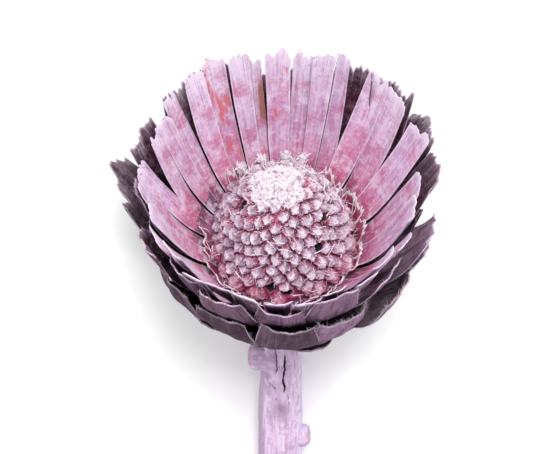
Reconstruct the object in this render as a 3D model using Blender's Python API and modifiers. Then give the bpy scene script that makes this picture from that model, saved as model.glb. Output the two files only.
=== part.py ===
"""Dried protea: an open rosette head on a short cut stem, lying on a flat surface.

The head is modelled on its own axis, +Z up through the dome, and then leant over as it lies.
Azimuths turn about that axis, with -Y the side that faces the surface below.
The stem is modelled lying down, from the head's neck along +Y to its cut end.
"""

import math
import random

import bmesh
import bpy
import numpy as np
from mathutils import Matrix, Vector
from mathutils.geometry import delaunay_2d_cdt

MM = 0.001
GAP = 0.3 * MM
SHARP_FROM = math.radians(38)

# How the flower lies: its axis stands this far above the surface, and what touches is pressed a little flat
HEAD_RISE = math.radians(38)
PRESSED_FLAT = 0.35 * MM

# Receptacle: dome with teeth, and the neck below it
DOME_RADIUS = 17.3 * MM
DOME_HEIGHT = 25.5 * MM
TEETH = 200
RIM_CELLS_LEFT = 20
RIM_POINTS = 36
TOOTH_HEIGHT = 1.8 * MM
TOOTH_DROOP = 1.0 * MM
TOP_CROWDING = 1.12
TOP_TOOTH_SIZE = 0.45
NECK_RADIUS = 8.0 * MM
NECK_END_RADIUS = 5.6 * MM
NECK_LENGTH = 20.3 * MM
NECK_SHOULDER = 12.0 * MM
NECK_SUNK = 2.0 * MM

# Stem
STEM_RADIUS = 5.35 * MM
STEM_THICKENING = 0.10
STEM_SWELL = 0.03
STEM_STATIONS = 13
STEM_LENGTH = 76.0 * MM
STEM_RIDGES = 7
RIDGE_DEPTH = 0.28 * MM
STEM_SIDES = 24
TWIG_SIDES = 12

# Cut side branches of the stem: share of its length, way it points, reach from the stem's middle, radius
STUBS = {
    "stub": (0.52, (1.0, -0.04, 0.10), 9.0 * MM, 3.15 * MM),
    "nub": (0.81, (-1.0, -0.25, 0.12), 7.4 * MM, 2.6 * MM),
}

# Inner bracts stand in groups between the slits of the bowl: azimuth in degrees and straps after it
STRAP_GROUPS = (
    (156, 1), (173, 1), (190, 1), (208, 2), (237, 3), (266, 1), (278, 1), (284, 1),
    (294, 2), (317, 3), (347, 2), (369, 3), (406, 3), (442, 3), (478, 3),
)
LAST_SLIT = 516
STRAP_WIDTH = 6.9 * MM
STRAP_SHAPE = dict(
    thickness=0.75, stations=7, columns=4, ragged=0.03, ruffle=0.3, pointed=0.0, sunk=2.6,
)
STRAP_LINE = ((17.9, -0.9), (24.8, 3.8), (32.6, 33.6))
STRAP_ROW_STEP = 1.25 * MM
STRAP_SIDE_DROP = 3.5
STRAP_TOP_DROP = 1.0
STRAP_END_SLOPE = 0.22
# Straps whose ends stand out from the others, as (further out, higher) in mm
STRAP_ENDS = {
    1: (-0.8, -2.8), 2: (2.9, 1.1), 3: (1.2, 4.2), 4: (3.6, 0.0), 5: (0.9, 3.4), 6: (0.9, 3.4), 7: (0.1, 0.6),
    8: (0.3, 1.2), 9: (-0.7, -2.7), 10: (0.8, 3.2), 11: (0.6, 2.2), 12: (0.5, 2.2), 13: (0.3, 1.0),
    14: (0.3, 1.2), 15: (-0.8, 3.0), 16: (2.6, -1.6), 24: (0.3, -2.6), 25: (0.0, -1.4), 26: (0.0, -1.2),
}

# Ends of bracts: where the narrowing starts, and the waves along an edge
POINT_START = 0.55
RUFFLE_WAVES = 7.0

# How far a loose bract strays: share of a pitch, mm outwards, mm up, degrees of twist
TURN_STRAY = 0.10
OUT_STRAY = 0.6
HEIGHT_STRAY = 1.3
TWIST_STRAY = 6.0

# Rings that the bracts grow from, as (radius, height) in mm round the neck
INNER_RING = ((19.6, -2.0), (18.9, -3.0), (8.3, -9.6), (8.3, -0.35), (17.2, -0.35))
MIDDLE_RING = ((21.1, -3.6), (20.5, -5.4), (8.3, -12.9), (8.3, -10.0))
OUTER_RING = (
    (20.4, -8.9), (19.4, -10.9), (13.4, -15.2), (9.8, -18.9), (7.6, -20.6), (6.1, -20.6), (8.4, -13.4),
)

# Rows of broad bracts behind the straps, from the front backwards. All lengths are in mm.
#   line: root, middle and end as (radius, height) on the head's axis
#   first: azimuth of the first bract in degrees, straight down or half a pitch beside it
#   step: every second bract stands this much further out
#   wider: further out at the head's two sides, as the head is wider across than it is high
#   ends: bracts whose ends stand out from their row, as (further out, higher) and then, where it
#     differs, degrees round the head and how much longer the far edge is, as a share of the length
#   loose: how far each bract strays from its even place
# Two bracts of the second outer row carry the head, as far to the left of its weight as to the right.
MIDDLE_ROW = dict(
    label="middle bract", count=16, first=-90.0, seed=21,
    line=((20.1, -3.9), (27.4, 2.9), (34.9, 25.6)), width=13.5, thickness=0.8, step=1.0, wider=1.4,
    stations=6, columns=4, ragged=0.05, cup=0.05, ruffle=0.35, pointed=0.0, sunk=2.6, loose=1.0,
    ends={
        1: (0.0, 0.5, 8.0), 2: (0.9, 6.5, 2.0), 3: (1.6, 0.5), 5: (-0.8, 0.0), 6: (-1.0, 0.0), 7: (-0.1, 5.5),
        8: (0.0, 1.0, 0.0, -0.1), 9: (0.3, 6.5), 11: (0.8, 0.0), 12: (1.2, 0.5, 6.0), 13: (2.4, 2.5),
        14: (3.2, 4.5, -5.0), 15: (1.1, 6.5, -9.0),
    },
)
OUTER_ROW = dict(
    label="outer bract", count=14, first=-90.0, seed=31,
    line=((19.2, -9.8), (28.6, -7.9), (33.9, 14.0)), width=16.0, thickness=0.9, step=1.1, wider=1.2,
    stations=6, columns=5, ragged=0.07, cup=0.05, ruffle=0.4, pointed=0.0, sunk=2.6, loose=1.0,
    ends={
        3: (5.6, 0.8, 2.0, -0.06), 4: (-1.0, 0.0), 5: (-1.4, 0.0), 6: (0.4, 0.0), 7: (0.0, 2.6), 9: (1.0, 0.0),
        10: (3.0, 0.0), 11: (-0.7, 0.0),
    },
)
CARRYING_ROW = dict(
    label="second bract", count=12, first=-75.0, seed=32,
    line=((16.8, -12.0), (23.6, -13.4), (26.8, -8.4)), width=12.5, thickness=1.0, step=1.1, wider=1.5,
    stations=5, columns=4, ragged=0.03, cup=0.06, ruffle=0.0, pointed=1.2, sunk=2.0, loose=0.6,
    ends={5: (-2.4, 0.0, -6.0)},
)
THIRD_ROW = dict(
    label="third bract", count=12, first=-90.0, seed=33,
    line=((14.0, -14.4), (19.2, -16.2), (21.6, -12.8)), width=9.0, thickness=0.8, step=1.0, wider=1.0,
    stations=4, columns=4, ragged=0.03, cup=0.05, ruffle=0.0, pointed=2.0, sunk=1.8, loose=0.4,
    ends={},
)
FOURTH_ROW = dict(
    label="fourth bract", count=10, first=-90.0, seed=34,
    line=((11.4, -16.9), (15.4, -19.0), (17.8, -17.4)), width=8.0, thickness=0.8, step=0.9, wider=0.0,
    stations=4, columns=4, ragged=0.03, cup=0.04, ruffle=0.0, pointed=2.6, sunk=1.5, loose=0.5,
    ends={},
)
FIFTH_ROW = dict(
    label="fifth bract", count=8, first=-90.0, seed=35,
    line=((9.0, -19.2), (11.6, -21.2), (13.4, -21.0)), width=6.2, thickness=0.7, step=0.7, wider=0.0,
    stations=4, columns=4, ragged=0.03, cup=0.03, ruffle=0.0, pointed=3.0, sunk=1.1, loose=0.5,
    ends={},
)


def clear_scene():
    """Remove what the file opened with."""
    for item in list(bpy.data.objects):
        bpy.data.objects.remove(item)


def new_collection(name):
    """A collection linked to the scene."""
    collection = bpy.data.collections.new(name)
    bpy.context.scene.collection.children.link(collection)
    return collection


def material(name, colour, roughness):
    """A plain Principled material."""
    made = bpy.data.materials.new(name)
    made.use_nodes = True
    shader = made.node_tree.nodes["Principled BSDF"]
    shader.inputs["Base Color"].default_value = (*colour, 1.0)
    shader.inputs["Roughness"].default_value = roughness
    shader.inputs["Metallic"].default_value = 0.0
    return made


def mesh_object(name, points, faces, collection):
    """An object from points and faces, its normals turned outwards."""
    mesh = bpy.data.meshes.new(name)
    mesh.from_pydata([tuple(p) for p in points], [], faces)
    made = bpy.data.objects.new(name, mesh)
    collection.objects.link(made)
    shape = bmesh.new()
    shape.from_mesh(mesh)
    bmesh.ops.recalc_face_normals(shape, faces=shape.faces)
    shape.to_mesh(mesh)
    shape.free()
    return made


def turned(name, profile, steps, collection):
    """A closed profile of (radius, height) turned about the head's axis by a Screw modifier."""
    mesh = bpy.data.meshes.new(name)
    points = [(r, 0.0, z) for r, z in profile]
    edges = [(i, (i + 1) % len(points)) for i in range(len(points))]
    mesh.from_pydata(points, edges, [])
    made = bpy.data.objects.new(name, mesh)
    collection.objects.link(made)
    screw = made.modifiers.new("turn", "SCREW")
    screw.steps = steps
    screw.render_steps = steps
    screw.use_merge_vertices = True
    screw.merge_threshold = 0.00001
    bake(made)
    return made


def in_metres(profile):
    """A profile given in mm."""
    return [(r * MM, z * MM) for r, z in profile]


def bake(item):
    """Apply an object's modifiers by taking its evaluated mesh."""
    bpy.context.view_layer.update()
    graph = bpy.context.evaluated_depsgraph_get()
    mesh = bpy.data.meshes.new_from_object(item.evaluated_get(graph), depsgraph=graph)
    item.modifiers.clear()
    item.data = mesh


def fuse(base, pieces):
    """One Boolean union of a base with a collection of pieces, which are then removed."""
    union = base.modifiers.new("fuse", "BOOLEAN")
    union.operation = "UNION"
    union.operand_type = "COLLECTION"
    union.collection = pieces
    union.solver = "EXACT"
    bake(base)
    for item in list(pieces.objects):
        bpy.data.objects.remove(item)
    bpy.data.collections.remove(pieces)


def curve_point(line, t):
    """Point and unit tangent of a quadratic curve through three (radius, height) pairs in mm."""
    first, middle, last = (np.array(p) * MM for p in line)
    place = (1 - t) ** 2 * first + 2 * t * (1 - t) * middle + t * t * last
    along = 2 * (1 - t) * (middle - first) + 2 * t * (last - middle)
    return place, along / np.linalg.norm(along)


def blade(name, azimuth, line, width, shape, collection, twist, row_step, seed, slant=0.0):
    """One bract: a thin loft along a curve in the plane of its azimuth, sunk into its ring at the root.

    At each station the section is a shallow arc across the bract. Both faces carry the same
    triangles, so a waved blade keeps its thickness. The last station is ragged, and slants.
    """
    rows, columns = shape["stations"], shape["columns"]
    ragged = shape["ragged"]
    draw = random.Random(seed)
    jag = [draw.uniform(-ragged, ragged) for _ in range(columns)]
    phase = draw.uniform(0, math.tau)
    thickness = shape["thickness"] * MM
    upper, lower = [], []
    for row in range(rows):
        share = row / (rows - 1)
        for column in range(columns):
            side = 2 * column / (columns - 1) - 1
            t = share if row < rows - 1 else 1 + jag[column] + slant * side
            (radius, height), (run, rise) = curve_point(line, t)
            inward = (-rise, run)
            if row == 0:
                radius -= run * shape["sunk"] * MM
                height -= rise * shape["sunk"] * MM
            half = width(share) * (1 - shape["pointed"] * max(0.0, share - POINT_START) ** 2) / 2
            lift = side * side * (half * half / (2 * radius) + shape["cup"] * share * half)
            lift += shape["ruffle"] * MM * share * side * math.sin(RUFFLE_WAVES * share + phase)
            lift -= row_step
            angle = twist * share
            across = side * half * math.cos(angle)
            lift += side * half * math.sin(angle)
            for face, offset in ((upper, thickness / 2), (lower, -thickness / 2)):
                r = radius + inward[0] * (lift + offset)
                z = height + inward[1] * (lift + offset)
                x = math.cos(azimuth) * r - math.sin(azimuth) * across
                y = math.sin(azimuth) * r + math.cos(azimuth) * across
                face.append((x, y, z))
    count = len(upper)
    faces = []
    for row in range(rows - 1):
        for column in range(columns - 1):
            a = row * columns + column
            b = a + 1
            c = a + columns + 1
            d = a + columns
            faces += [(a, b, c), (a, c, d)]
            faces += [(count + a, count + c, count + b), (count + a, count + d, count + c)]
    border = [row * columns for row in range(rows)]
    border += [(rows - 1) * columns + column for column in range(1, columns)]
    border += [row * columns + columns - 1 for row in range(rows - 2, -1, -1)]
    border += list(range(columns - 2, 0, -1))
    for here, there in zip(border, border[1:] + border[:1]):
        faces += [(here, there, count + there), (here, count + there, count + here)]
    return mesh_object(name, upper + lower, faces, collection)


def strap_width(share):
    """A strap: narrow at the root, even from a third of its length to its square end."""
    return STRAP_WIDTH * min(1.0, 0.62 + 0.75 * share)


def leaf_width(full, belly=0.55):
    """An ovate bract: fullest at the belly and a little narrower at the root and the end."""
    return lambda share: full * (0.66 + 0.34 * math.sin(math.pi * min(1.0, share / belly / 2)))


def strap_azimuths():
    """Azimuths of the straps: evenly spread within each group between two slits."""
    places = []
    for (start, count), (end, _) in zip(STRAP_GROUPS, STRAP_GROUPS[1:] + ((LAST_SLIT, 0),)):
        step = (end - start) / count
        places += [math.radians(start + step * (k + 0.5)) for k in range(count)]
    return places


def make_inner_bracts(parts):
    """Long straps in a front and a back row, rooted in a ring round the neck."""
    ring = turned("inner_bracts", in_metres(INNER_RING), RIM_POINTS, parts)
    pieces = new_collection("inner blades")
    draw = random.Random(11)
    for number, azimuth in enumerate(strap_azimuths()):
        (r0, z0), (r1, z1), (r2, z2) = STRAP_LINE
        longer = draw.uniform(-1.4, 1.2) - STRAP_SIDE_DROP * math.cos(azimuth) ** 2
        longer -= STRAP_TOP_DROP * max(0.0, -math.sin(azimuth)) ** 3
        line = [(r0, z0), (r1, z1), (r2 + draw.uniform(-0.3, 0.4) + STRAP_END_SLOPE * longer, z2 + longer)]
        further, higher = STRAP_ENDS.get(number, (0.0, 0.0))
        line[-1] = (line[-1][0] + further, line[-1][1] + higher)
        twist = math.radians(draw.uniform(-4, 4))
        shape = {**STRAP_SHAPE, "cup": draw.uniform(-0.02, 0.06)}
        blade(f"strap {number}", azimuth, line, strap_width, shape, pieces, twist=twist,
              row_step=STRAP_ROW_STEP * (number % 2), seed=number)
    fuse(ring, pieces)
    return ring


def bract_row(pieces, row):
    """One row of bracts round the head, every second one a step further out.

    The first and last bract of a row stay regular, because the flower may rest on them.
    In the carrying row these two lie equally far in.
    """
    draw = random.Random(row["seed"])
    count = row["count"]
    for number in range(count):
        level = number
        if row is CARRYING_ROW:
            level = min(number, count - 1 - number)
        free = 0.0 if number in (0, count - 1) else row["loose"]
        turn = number + free * draw.uniform(-TURN_STRAY, TURN_STRAY)
        further, higher, round_head, slant = (*row["ends"].get(number, ()), 0.0, 0.0, 0.0, 0.0)[:4]
        azimuth = math.radians(row["first"] + round_head) + math.tau * turn / count
        further += row["wider"] * math.cos(azimuth) ** 2 + free * draw.uniform(-OUT_STRAY, OUT_STRAY)
        higher += free * draw.uniform(-HEIGHT_STRAY, HEIGHT_STRAY)
        root, middle, (radius, height) = row["line"]
        blade(f"{row['label']} {number}", azimuth, (root, middle, (radius + further, height + higher)),
              leaf_width(row["width"] * MM), row, pieces,
              twist=math.radians(free * draw.uniform(-TWIST_STRAY, TWIST_STRAY)),
              row_step=row["step"] * MM * (level % 2), seed=row["seed"] * 100 + number, slant=slant)


def make_middle_bracts(parts):
    """Broad bracts behind the straps."""
    ring = turned("middle_bracts", in_metres(MIDDLE_RING), RIM_POINTS, parts)
    pieces = new_collection("middle blades")
    bract_row(pieces, MIDDLE_ROW)
    fuse(ring, pieces)
    return ring


def make_outer_bracts(parts):
    """Rows of broad cupped bracts that cover the back of the head, smaller towards the stem."""
    ring = turned("outer_bracts", in_metres(OUTER_RING), RIM_POINTS, parts)
    pieces = new_collection("outer blades")
    for row in (OUTER_ROW, CARRYING_ROW, THIRD_ROW, FOURTH_ROW, FIFTH_ROW):
        bract_row(pieces, row)
    fuse(ring, pieces)
    return ring


def dome_lattice():
    """Plan points of the tooth tips on the dome: a golden-angle spiral, even in area, finer at the top."""
    bend = 2 * DOME_HEIGHT / DOME_RADIUS ** 2
    whole = (1 + (bend * DOME_RADIUS) ** 2) ** 1.5 - 1
    share = ((np.arange(TEETH) + 0.5) / (TEETH + RIM_CELLS_LEFT)) ** TOP_CROWDING
    radii = np.sqrt((1 + whole * share) ** (2 / 3) - 1) / bend
    angles = np.arange(TEETH) * math.pi * (3 - math.sqrt(5))
    return radii, angles, bend


def dome_point(radius, angle, bend):
    """Point and outward normal of the paraboloid dome."""
    place = Vector((radius * math.cos(angle), radius * math.sin(angle), DOME_HEIGHT - bend * radius ** 2 / 2))
    normal = Vector((bend * radius * math.cos(angle), bend * radius * math.sin(angle), 1.0))
    return place, normal.normalized()


def make_receptacle(parts):
    """The dome, with a tooth raised in each cell of the spiral, fused to its neck.

    The cells are those between the spiral's points: each Delaunay triangle's middle is a low corner,
    and each spiral point is a tip, raised along the normal and drawn down the slope.
    The triangles are found on a map of the dome that keeps angles.
    """
    radii, angles, bend = dome_lattice()
    fine = np.linspace(0.2 * MM, DOME_RADIUS, 2000)
    slope = np.sqrt(1 + (bend * fine) ** 2) / fine
    spread = np.concatenate(([0.0], np.cumsum((slope[1:] + slope[:-1]) / 2 * np.diff(fine))))
    radii = np.concatenate((radii, np.full(RIM_POINTS, DOME_RADIUS)))
    angles = np.concatenate((angles, np.arange(RIM_POINTS) * math.tau / RIM_POINTS))
    flat = np.exp(np.interp(radii, fine, spread) - spread[-1])
    plan = [Vector((q * math.cos(a), q * math.sin(a))) for q, a in zip(flat, angles)]
    _, _, triangles, *_ = delaunay_2d_cdt(plan, [], [], 0, 1e-9)
    points = []
    for number, (radius, angle) in enumerate(zip(radii, angles)):
        place, normal = dome_point(radius, angle, bend)
        if number < TEETH:
            size = min(1.0, TOP_TOOTH_SIZE + 0.8 * radius / DOME_RADIUS)
            downhill = Vector((normal.x, normal.y, 0)) - normal * (normal.x ** 2 + normal.y ** 2)
            place += normal * TOOTH_HEIGHT * size
            place += downhill.normalized() * TOOTH_DROOP * size * min(1.0, radius / (6 * MM))
        points.append(place)
    faces = []
    edges = {}
    for triangle in triangles:
        low = [dome_point(radii[k], angles[k], bend)[0] for k in triangle]
        points.append(sum(low, Vector()) / 3)
        for here, there in zip(triangle, triangle[1:] + triangle[:1]):
            edges.setdefault((min(here, there), max(here, there)), []).append(len(points) - 1)
    for (here, there), middles in edges.items():
        if len(middles) == 2:
            faces += [(here, middles[0], middles[1]), (there, middles[1], middles[0])]
        else:
            faces.append((here, there, middles[0]))
    faces.append(tuple(TEETH + k for k in range(RIM_POINTS)))
    dome = mesh_object("receptacle", points, faces, parts)
    pieces = new_collection("neck pieces")
    turned("neck", ((NECK_RADIUS, NECK_SUNK), (NECK_RADIUS, -NECK_SHOULDER), (NECK_END_RADIUS, -NECK_LENGTH),
                    (0.0, -NECK_LENGTH), (0.0, NECK_SUNK)), RIM_POINTS, pieces)
    fuse(dome, pieces)
    return dome


def smooth(item):
    """Smooth shading, but for the edges of blades, teeth and cut faces."""
    item.data.shade_smooth()
    item.data.set_sharp_from_angle(angle=SHARP_FROM)


def lean(height=0.0):
    """The head's place: its axis leant towards -Y and lifted off the surface."""
    return Matrix.Translation((0, 0, height)) @ Matrix.Rotation(math.pi / 2 - HEAD_RISE, 4, "X")


def lie_down(head, head_place):
    """Hang the finished head on its leant empty, low enough for its lowest bracts to be pressed flat."""
    lowest = min((lean() @ vertex.co).z for item in head for vertex in item.data.vertices)
    head_place.matrix_world = lean(-lowest - PRESSED_FLAT)
    for item in head:
        item.parent = head_place
    return head_place.matrix_world.copy()


def stem_line(place):
    """The stem's centre line: out of the neck, round its bend and down to the surface at the cut end."""
    axis = place.to_3x3() @ Vector((0, 0, 1))
    start = place @ Vector((0, 0, -NECK_LENGTH - GAP))
    thick_end = STEM_RADIUS * (1 + STEM_THICKENING) + RIDGE_DEPTH
    end = Vector((0.9 * MM, start.y + STEM_LENGTH * 0.985, thick_end - PRESSED_FLAT))
    one = start - axis * 10 * MM
    two = start.lerp(end, 0.45) + Vector((-0.6 * MM, 0, -0.9 * MM))
    return start, one, two, end


def stem_point(line, t):
    """Point and tangent of the stem's cubic centre line."""
    a, b, c, d = line
    s = 1 - t
    place = a * s ** 3 + b * 3 * s * s * t + c * 3 * s * t * t + d * t ** 3
    along = (b - a) * 3 * s * s + (c - b) * 6 * s * t + (d - c) * 3 * t * t
    return place, along.normalized()


def twig(name, spine, radius, sides, collection, ridges=0, depth=0.0):
    """A closed loft of ridged rings along a line of (point, tangent, size) stations."""
    points = []
    for place, along, size in spine:
        side = along.cross(Vector((0, 0, 1))).normalized()
        up = side.cross(along)
        for k in range(sides):
            angle = math.tau * k / sides
            reach = radius * size + depth * math.cos(ridges * angle + 0.6 * math.sin(2 * angle))
            points.append(place + side * reach * math.cos(angle) + up * reach * math.sin(angle))
    faces = []
    for ring in range(len(spine) - 1):
        for k in range(sides):
            a = ring * sides + k
            b = ring * sides + (k + 1) % sides
            faces += [(a, b, b + sides), (a, b + sides, a + sides)]
    faces.append(tuple(range(sides)))
    faces.append(tuple((len(spine) - 1) * sides + k for k in range(sides)))
    return mesh_object(name, points, faces, collection)


def make_stem(place, parts):
    """The ridged stem with the stub of a side branch near the head and a small nub lower down."""
    line = stem_line(place)
    spine = []
    for k in range(STEM_STATIONS + 1):
        t = k / STEM_STATIONS
        size = 1.0 + STEM_THICKENING * t + STEM_SWELL * math.sin(3 * math.pi * t)
        spine.append((*stem_point(line, t), size))
    stem = twig("stem", spine, STEM_RADIUS, STEM_SIDES, parts, STEM_RIDGES, RIDGE_DEPTH)
    pieces = new_collection("stem pieces")
    for name, (share, way, reach, radius) in STUBS.items():
        root, _ = stem_point(line, share)
        way = Vector(way).normalized()
        sizes = ((0.0, 1.25), (0.55, 1.15), (0.8, 1.05), (1.0, 0.72))
        branch = [(root + way * reach * t, way, size) for t, size in sizes]
        twig(name, branch, radius, TWIG_SIDES, pieces, 3, radius * 0.08)
    fuse(stem, pieces)
    return stem


def cut_at_surface(item, cutter):
    """Press a piece flat where it meets the surface."""
    cut = item.modifiers.new("surface", "BOOLEAN")
    cut.operation = "DIFFERENCE"
    cut.object = cutter
    cut.solver = "EXACT"


def surface_cutter(cutters):
    """A block whose top is the surface that the flower lies on."""
    mesh = bpy.data.meshes.new("surface cutter")
    shape = bmesh.new()
    bmesh.ops.create_cube(shape, size=1.0)
    bmesh.ops.scale(shape, vec=(0.3, 0.4, 0.02), verts=shape.verts)
    bmesh.ops.translate(shape, vec=(0, 0.03, -0.01), verts=shape.verts)
    shape.to_mesh(mesh)
    shape.free()
    cutter = bpy.data.objects.new("surface cutter", mesh)
    cutters.objects.link(cutter)
    cutter.hide_render = True
    cutter.display_type = "WIRE"
    return cutter


def centre_on_origin(seat, parts):
    """Move everything so that the origin is under the middle of the flower, on the surface."""
    bpy.context.view_layer.update()
    graph = bpy.context.evaluated_depsgraph_get()
    low = Vector((1, 1, 1))
    high = Vector((-1, -1, -1))
    for item in parts.objects:
        if item.type != "MESH":
            continue
        done = item.evaluated_get(graph)
        for vertex in done.data.vertices:
            place = done.matrix_world @ vertex.co
            low = Vector(map(min, low, place))
            high = Vector(map(max, high, place))
    seat.location = (-(low.x + high.x) / 2, -(low.y + high.y) / 2, -low.z)


def main():
    clear_scene()
    parts = new_collection("protea")
    cutters = new_collection("cutters")
    seat = bpy.data.objects.new("flower_place", None)
    head_place = bpy.data.objects.new("head_place", None)
    for empty in (seat, head_place):
        parts.objects.link(empty)
    head_place.parent = seat

    receptacle = make_receptacle(parts)
    outer = make_outer_bracts(parts)
    head = [receptacle, make_inner_bracts(parts), make_middle_bracts(parts), outer]
    stem = make_stem(lie_down(head, head_place), parts)
    cutter = surface_cutter(cutters)
    stem.parent = seat
    cutter.parent = seat
    colours = {
        "receptacle": ((0.78, 0.60, 0.68), 0.8),
        "inner_bracts": ((0.66, 0.40, 0.56), 0.75),
        "middle_bracts": ((0.36, 0.20, 0.29), 0.8),
        "outer_bracts": ((0.22, 0.12, 0.20), 0.8),
        "stem": ((0.62, 0.45, 0.58), 0.85),
    }
    for item in (*head, stem):
        item.data.materials.clear()
        item.data.materials.append(material(item.name, *colours[item.name]))
        smooth(item)
    for item in (outer, stem):
        cut_at_surface(item, cutter)
    centre_on_origin(seat, parts)


main()
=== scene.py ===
"""Looks of a dried protea: an open rosette head on a short cut stem, lying on a pale surface.

Every piece is worked out on the head's own axis in millimetres, +Z up through the dome, and then
leant over to where the head lies. Azimuths turn about that axis, with -90 degrees facing the surface.
"""

import itertools
import math
import random

import bpy
import numpy as np
from mathutils import Matrix, Vector

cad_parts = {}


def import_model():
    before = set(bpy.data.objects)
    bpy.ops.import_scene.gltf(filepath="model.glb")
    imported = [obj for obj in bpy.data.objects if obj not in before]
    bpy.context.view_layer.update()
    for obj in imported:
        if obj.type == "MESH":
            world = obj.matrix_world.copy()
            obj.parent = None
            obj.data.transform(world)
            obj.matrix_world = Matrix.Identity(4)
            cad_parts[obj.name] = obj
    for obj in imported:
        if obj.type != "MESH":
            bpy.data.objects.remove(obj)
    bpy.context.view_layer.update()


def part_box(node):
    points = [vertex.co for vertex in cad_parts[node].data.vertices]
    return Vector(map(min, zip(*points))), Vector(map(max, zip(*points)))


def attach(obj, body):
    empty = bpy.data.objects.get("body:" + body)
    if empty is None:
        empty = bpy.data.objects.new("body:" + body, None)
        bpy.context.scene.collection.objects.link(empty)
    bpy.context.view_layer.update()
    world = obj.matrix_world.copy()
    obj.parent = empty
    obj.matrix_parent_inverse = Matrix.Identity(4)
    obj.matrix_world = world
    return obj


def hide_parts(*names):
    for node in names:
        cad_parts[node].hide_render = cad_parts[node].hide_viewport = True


MM = 0.001

# How the head lies, and where the dome and neck lie lowest from the head's origin, in mm
HEAD_RISE = math.radians(38)
RECEPTACLE_LOW = (-18.425, -22.634, -16.911)

# Dome of the receptacle, in mm: it falls by half its bend times the square of the radius
DOME_RADIUS = 17.3
DOME_HEIGHT = 25.5
DOME_BEND = 2 * DOME_HEIGHT / DOME_RADIUS ** 2
DOME_RINGS, DOME_STEPS = 215, 340
NECK_PROFILE = ((17.3, -0.2), (12.0, -0.4), (8.0, -0.6), (8.0, -12.0), (5.6, -20.3))
# Its teeth, and the cells without one at the rim. They crowd at the top and are smaller there.
TEETH = 200
RIM_CELLS_LEFT = 20
TOP_CROWDING = 1.12
TOP_TOOTH_SIZE = 0.45
TOOTH_HEIGHT = 1.8
TOOTH_DROOP = 1.0

# Holes of lost teeth in the dome, darkened with painted shade: radius in mm and azimuth in degrees of each,
# and its own radius
PITS = (
    (8.9, 5.3, 1.2), (10.1, 162.3, 1.15), (12.4, 134.4, 1.2), (15.7, 80.3, 1.15), (16.1, 94.3, 1.15),
    (16.8, -7.0, 1.6), (16.4, -23.0, 1.8), (16.6, -39.0, 1.7),
)
PIT_DEPTH = 2.6
# Azimuth in radians of the side where they lie close together, where the dome's rim is darkened as painted
# shade
DARK_SIDE = -0.42

# White felted crown of the dome: its middle and half widths in mm, and how many grains would cover the dome
CROWN_MIDDLE = (1.0, -2.3)
CROWN_REACH = (6.0, 6.6)
GRAINS = 2600
# Bare grey tooth beside it, in mm
GREY_TOOTH = (-3.3, -2.4)
# Patch of teeth beside the crown, tinted darker as painted shade: its middle and half widths in mm
SHADED_PATCH = (12.8, -8.6, 3.6, 5.0)

# Straps: azimuth in degrees of each slit of the bowl, and the straps after it
STRAP_GROUPS = (
    (156, 1), (173, 1), (190, 1), (208, 2), (237, 3), (266, 1), (278, 1), (284, 1),
    (294, 2), (317, 3), (347, 2), (369, 3), (406, 3), (442, 3), (478, 3),
)
LAST_SLIT = 516
# How far each slit stands open at the tips, in mm, and the share of the strap's length where it closes
SLITS = {
    156: (2.6, 0.35), 173: (0.7, 0.05), 190: (1.9, 0.55), 208: (1.7, 0.30), 237: (4.0, 0.35),
    266: (0.7, 0.60), 278: (1.0, 0.35), 284: (0.4, 0.30), 294: (0.3, 0.10), 317: (1.9, 0.60),
    347: (1.2, 0.50), 369: (1.4, 0.40), 406: (1.2, 0.40), 442: (1.0, 0.50), 478: (1.6, 0.45),
}
# Width and lap of a strap in mm, its line from root to end as (radius, height), how far every second one
# stands behind, and how the bowl's rim drops at its sides and top and slopes outwards
STRAP_WIDTH = 6.9
STRAP_LAP = 0.12
WIDEST_STRAP = 8.6
STRAP_LINE = ((17.9, -0.9), (24.8, 3.8), (32.6, 33.6))
STRAP_ROW_STEP = 1.25
STRAP_SIDE_DROP = 3.5
STRAP_TOP_DROP = 1.0
STRAP_END_SLOPE = 0.22
# Straps whose ends stand out from the others, as (further out, higher) in mm
STRAP_ENDS = {
    1: (-0.8, -2.8), 2: (2.9, 1.1), 3: (1.2, 4.2), 4: (3.6, 0.0), 5: (0.9, 3.4), 6: (0.9, 3.4),
    7: (0.1, 0.6), 8: (0.3, 1.2), 9: (-0.7, -2.7), 10: (0.8, 3.2), 11: (0.6, 2.2), 12: (0.5, 2.2),
    13: (0.3, 1.0), 14: (0.3, 1.2), 15: (-0.8, 3.0), 16: (2.6, -1.6), 24: (0.3, -2.6),
    25: (0.0, -1.4), 26: (0.0, -1.2),
}

# How far coral patches spread on a strap, the straps whose backs are lightened as painted light, one with a
# brown patch, and how strongly a pale wash lifts others, which is partly white bloom and partly painted
# light where they lie in shade
CORAL_STRAPS = {4: 0.3, 8: 0.65, 9: 0.4, 11: 0.9, 12: 0.35, 16: 0.5, 17: 0.4}
STRAPS_WITH_PAINTED_LIGHT_BACKS = (27, 28, 29)
BROWN_STRAP = 9
BLOOM_AND_PAINTED_LIGHT_WASH = {10: 0.5, 14: 0.5, 15: 0.6, 17: 0.5, 18: 0.9, 19: 1.0, 20: 0.8, 21: 1.0, 22: 1.0, 23: 0.8}

# Shape of a bract: where along it the widening ends and the narrowing starts, and the waves along an edge
BELLY = 0.55
POINT_START = 0.55
RUFFLE_WAVES = 7.0
# How far a bract strays: in turn as a share of the spacing, out and up in mm, and in twist in degrees
TURN_STRAY = 0.10
OUT_STRAY = 0.6
HEIGHT_STRAY = 1.3
TWIST_STRAY = 6.0

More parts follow.
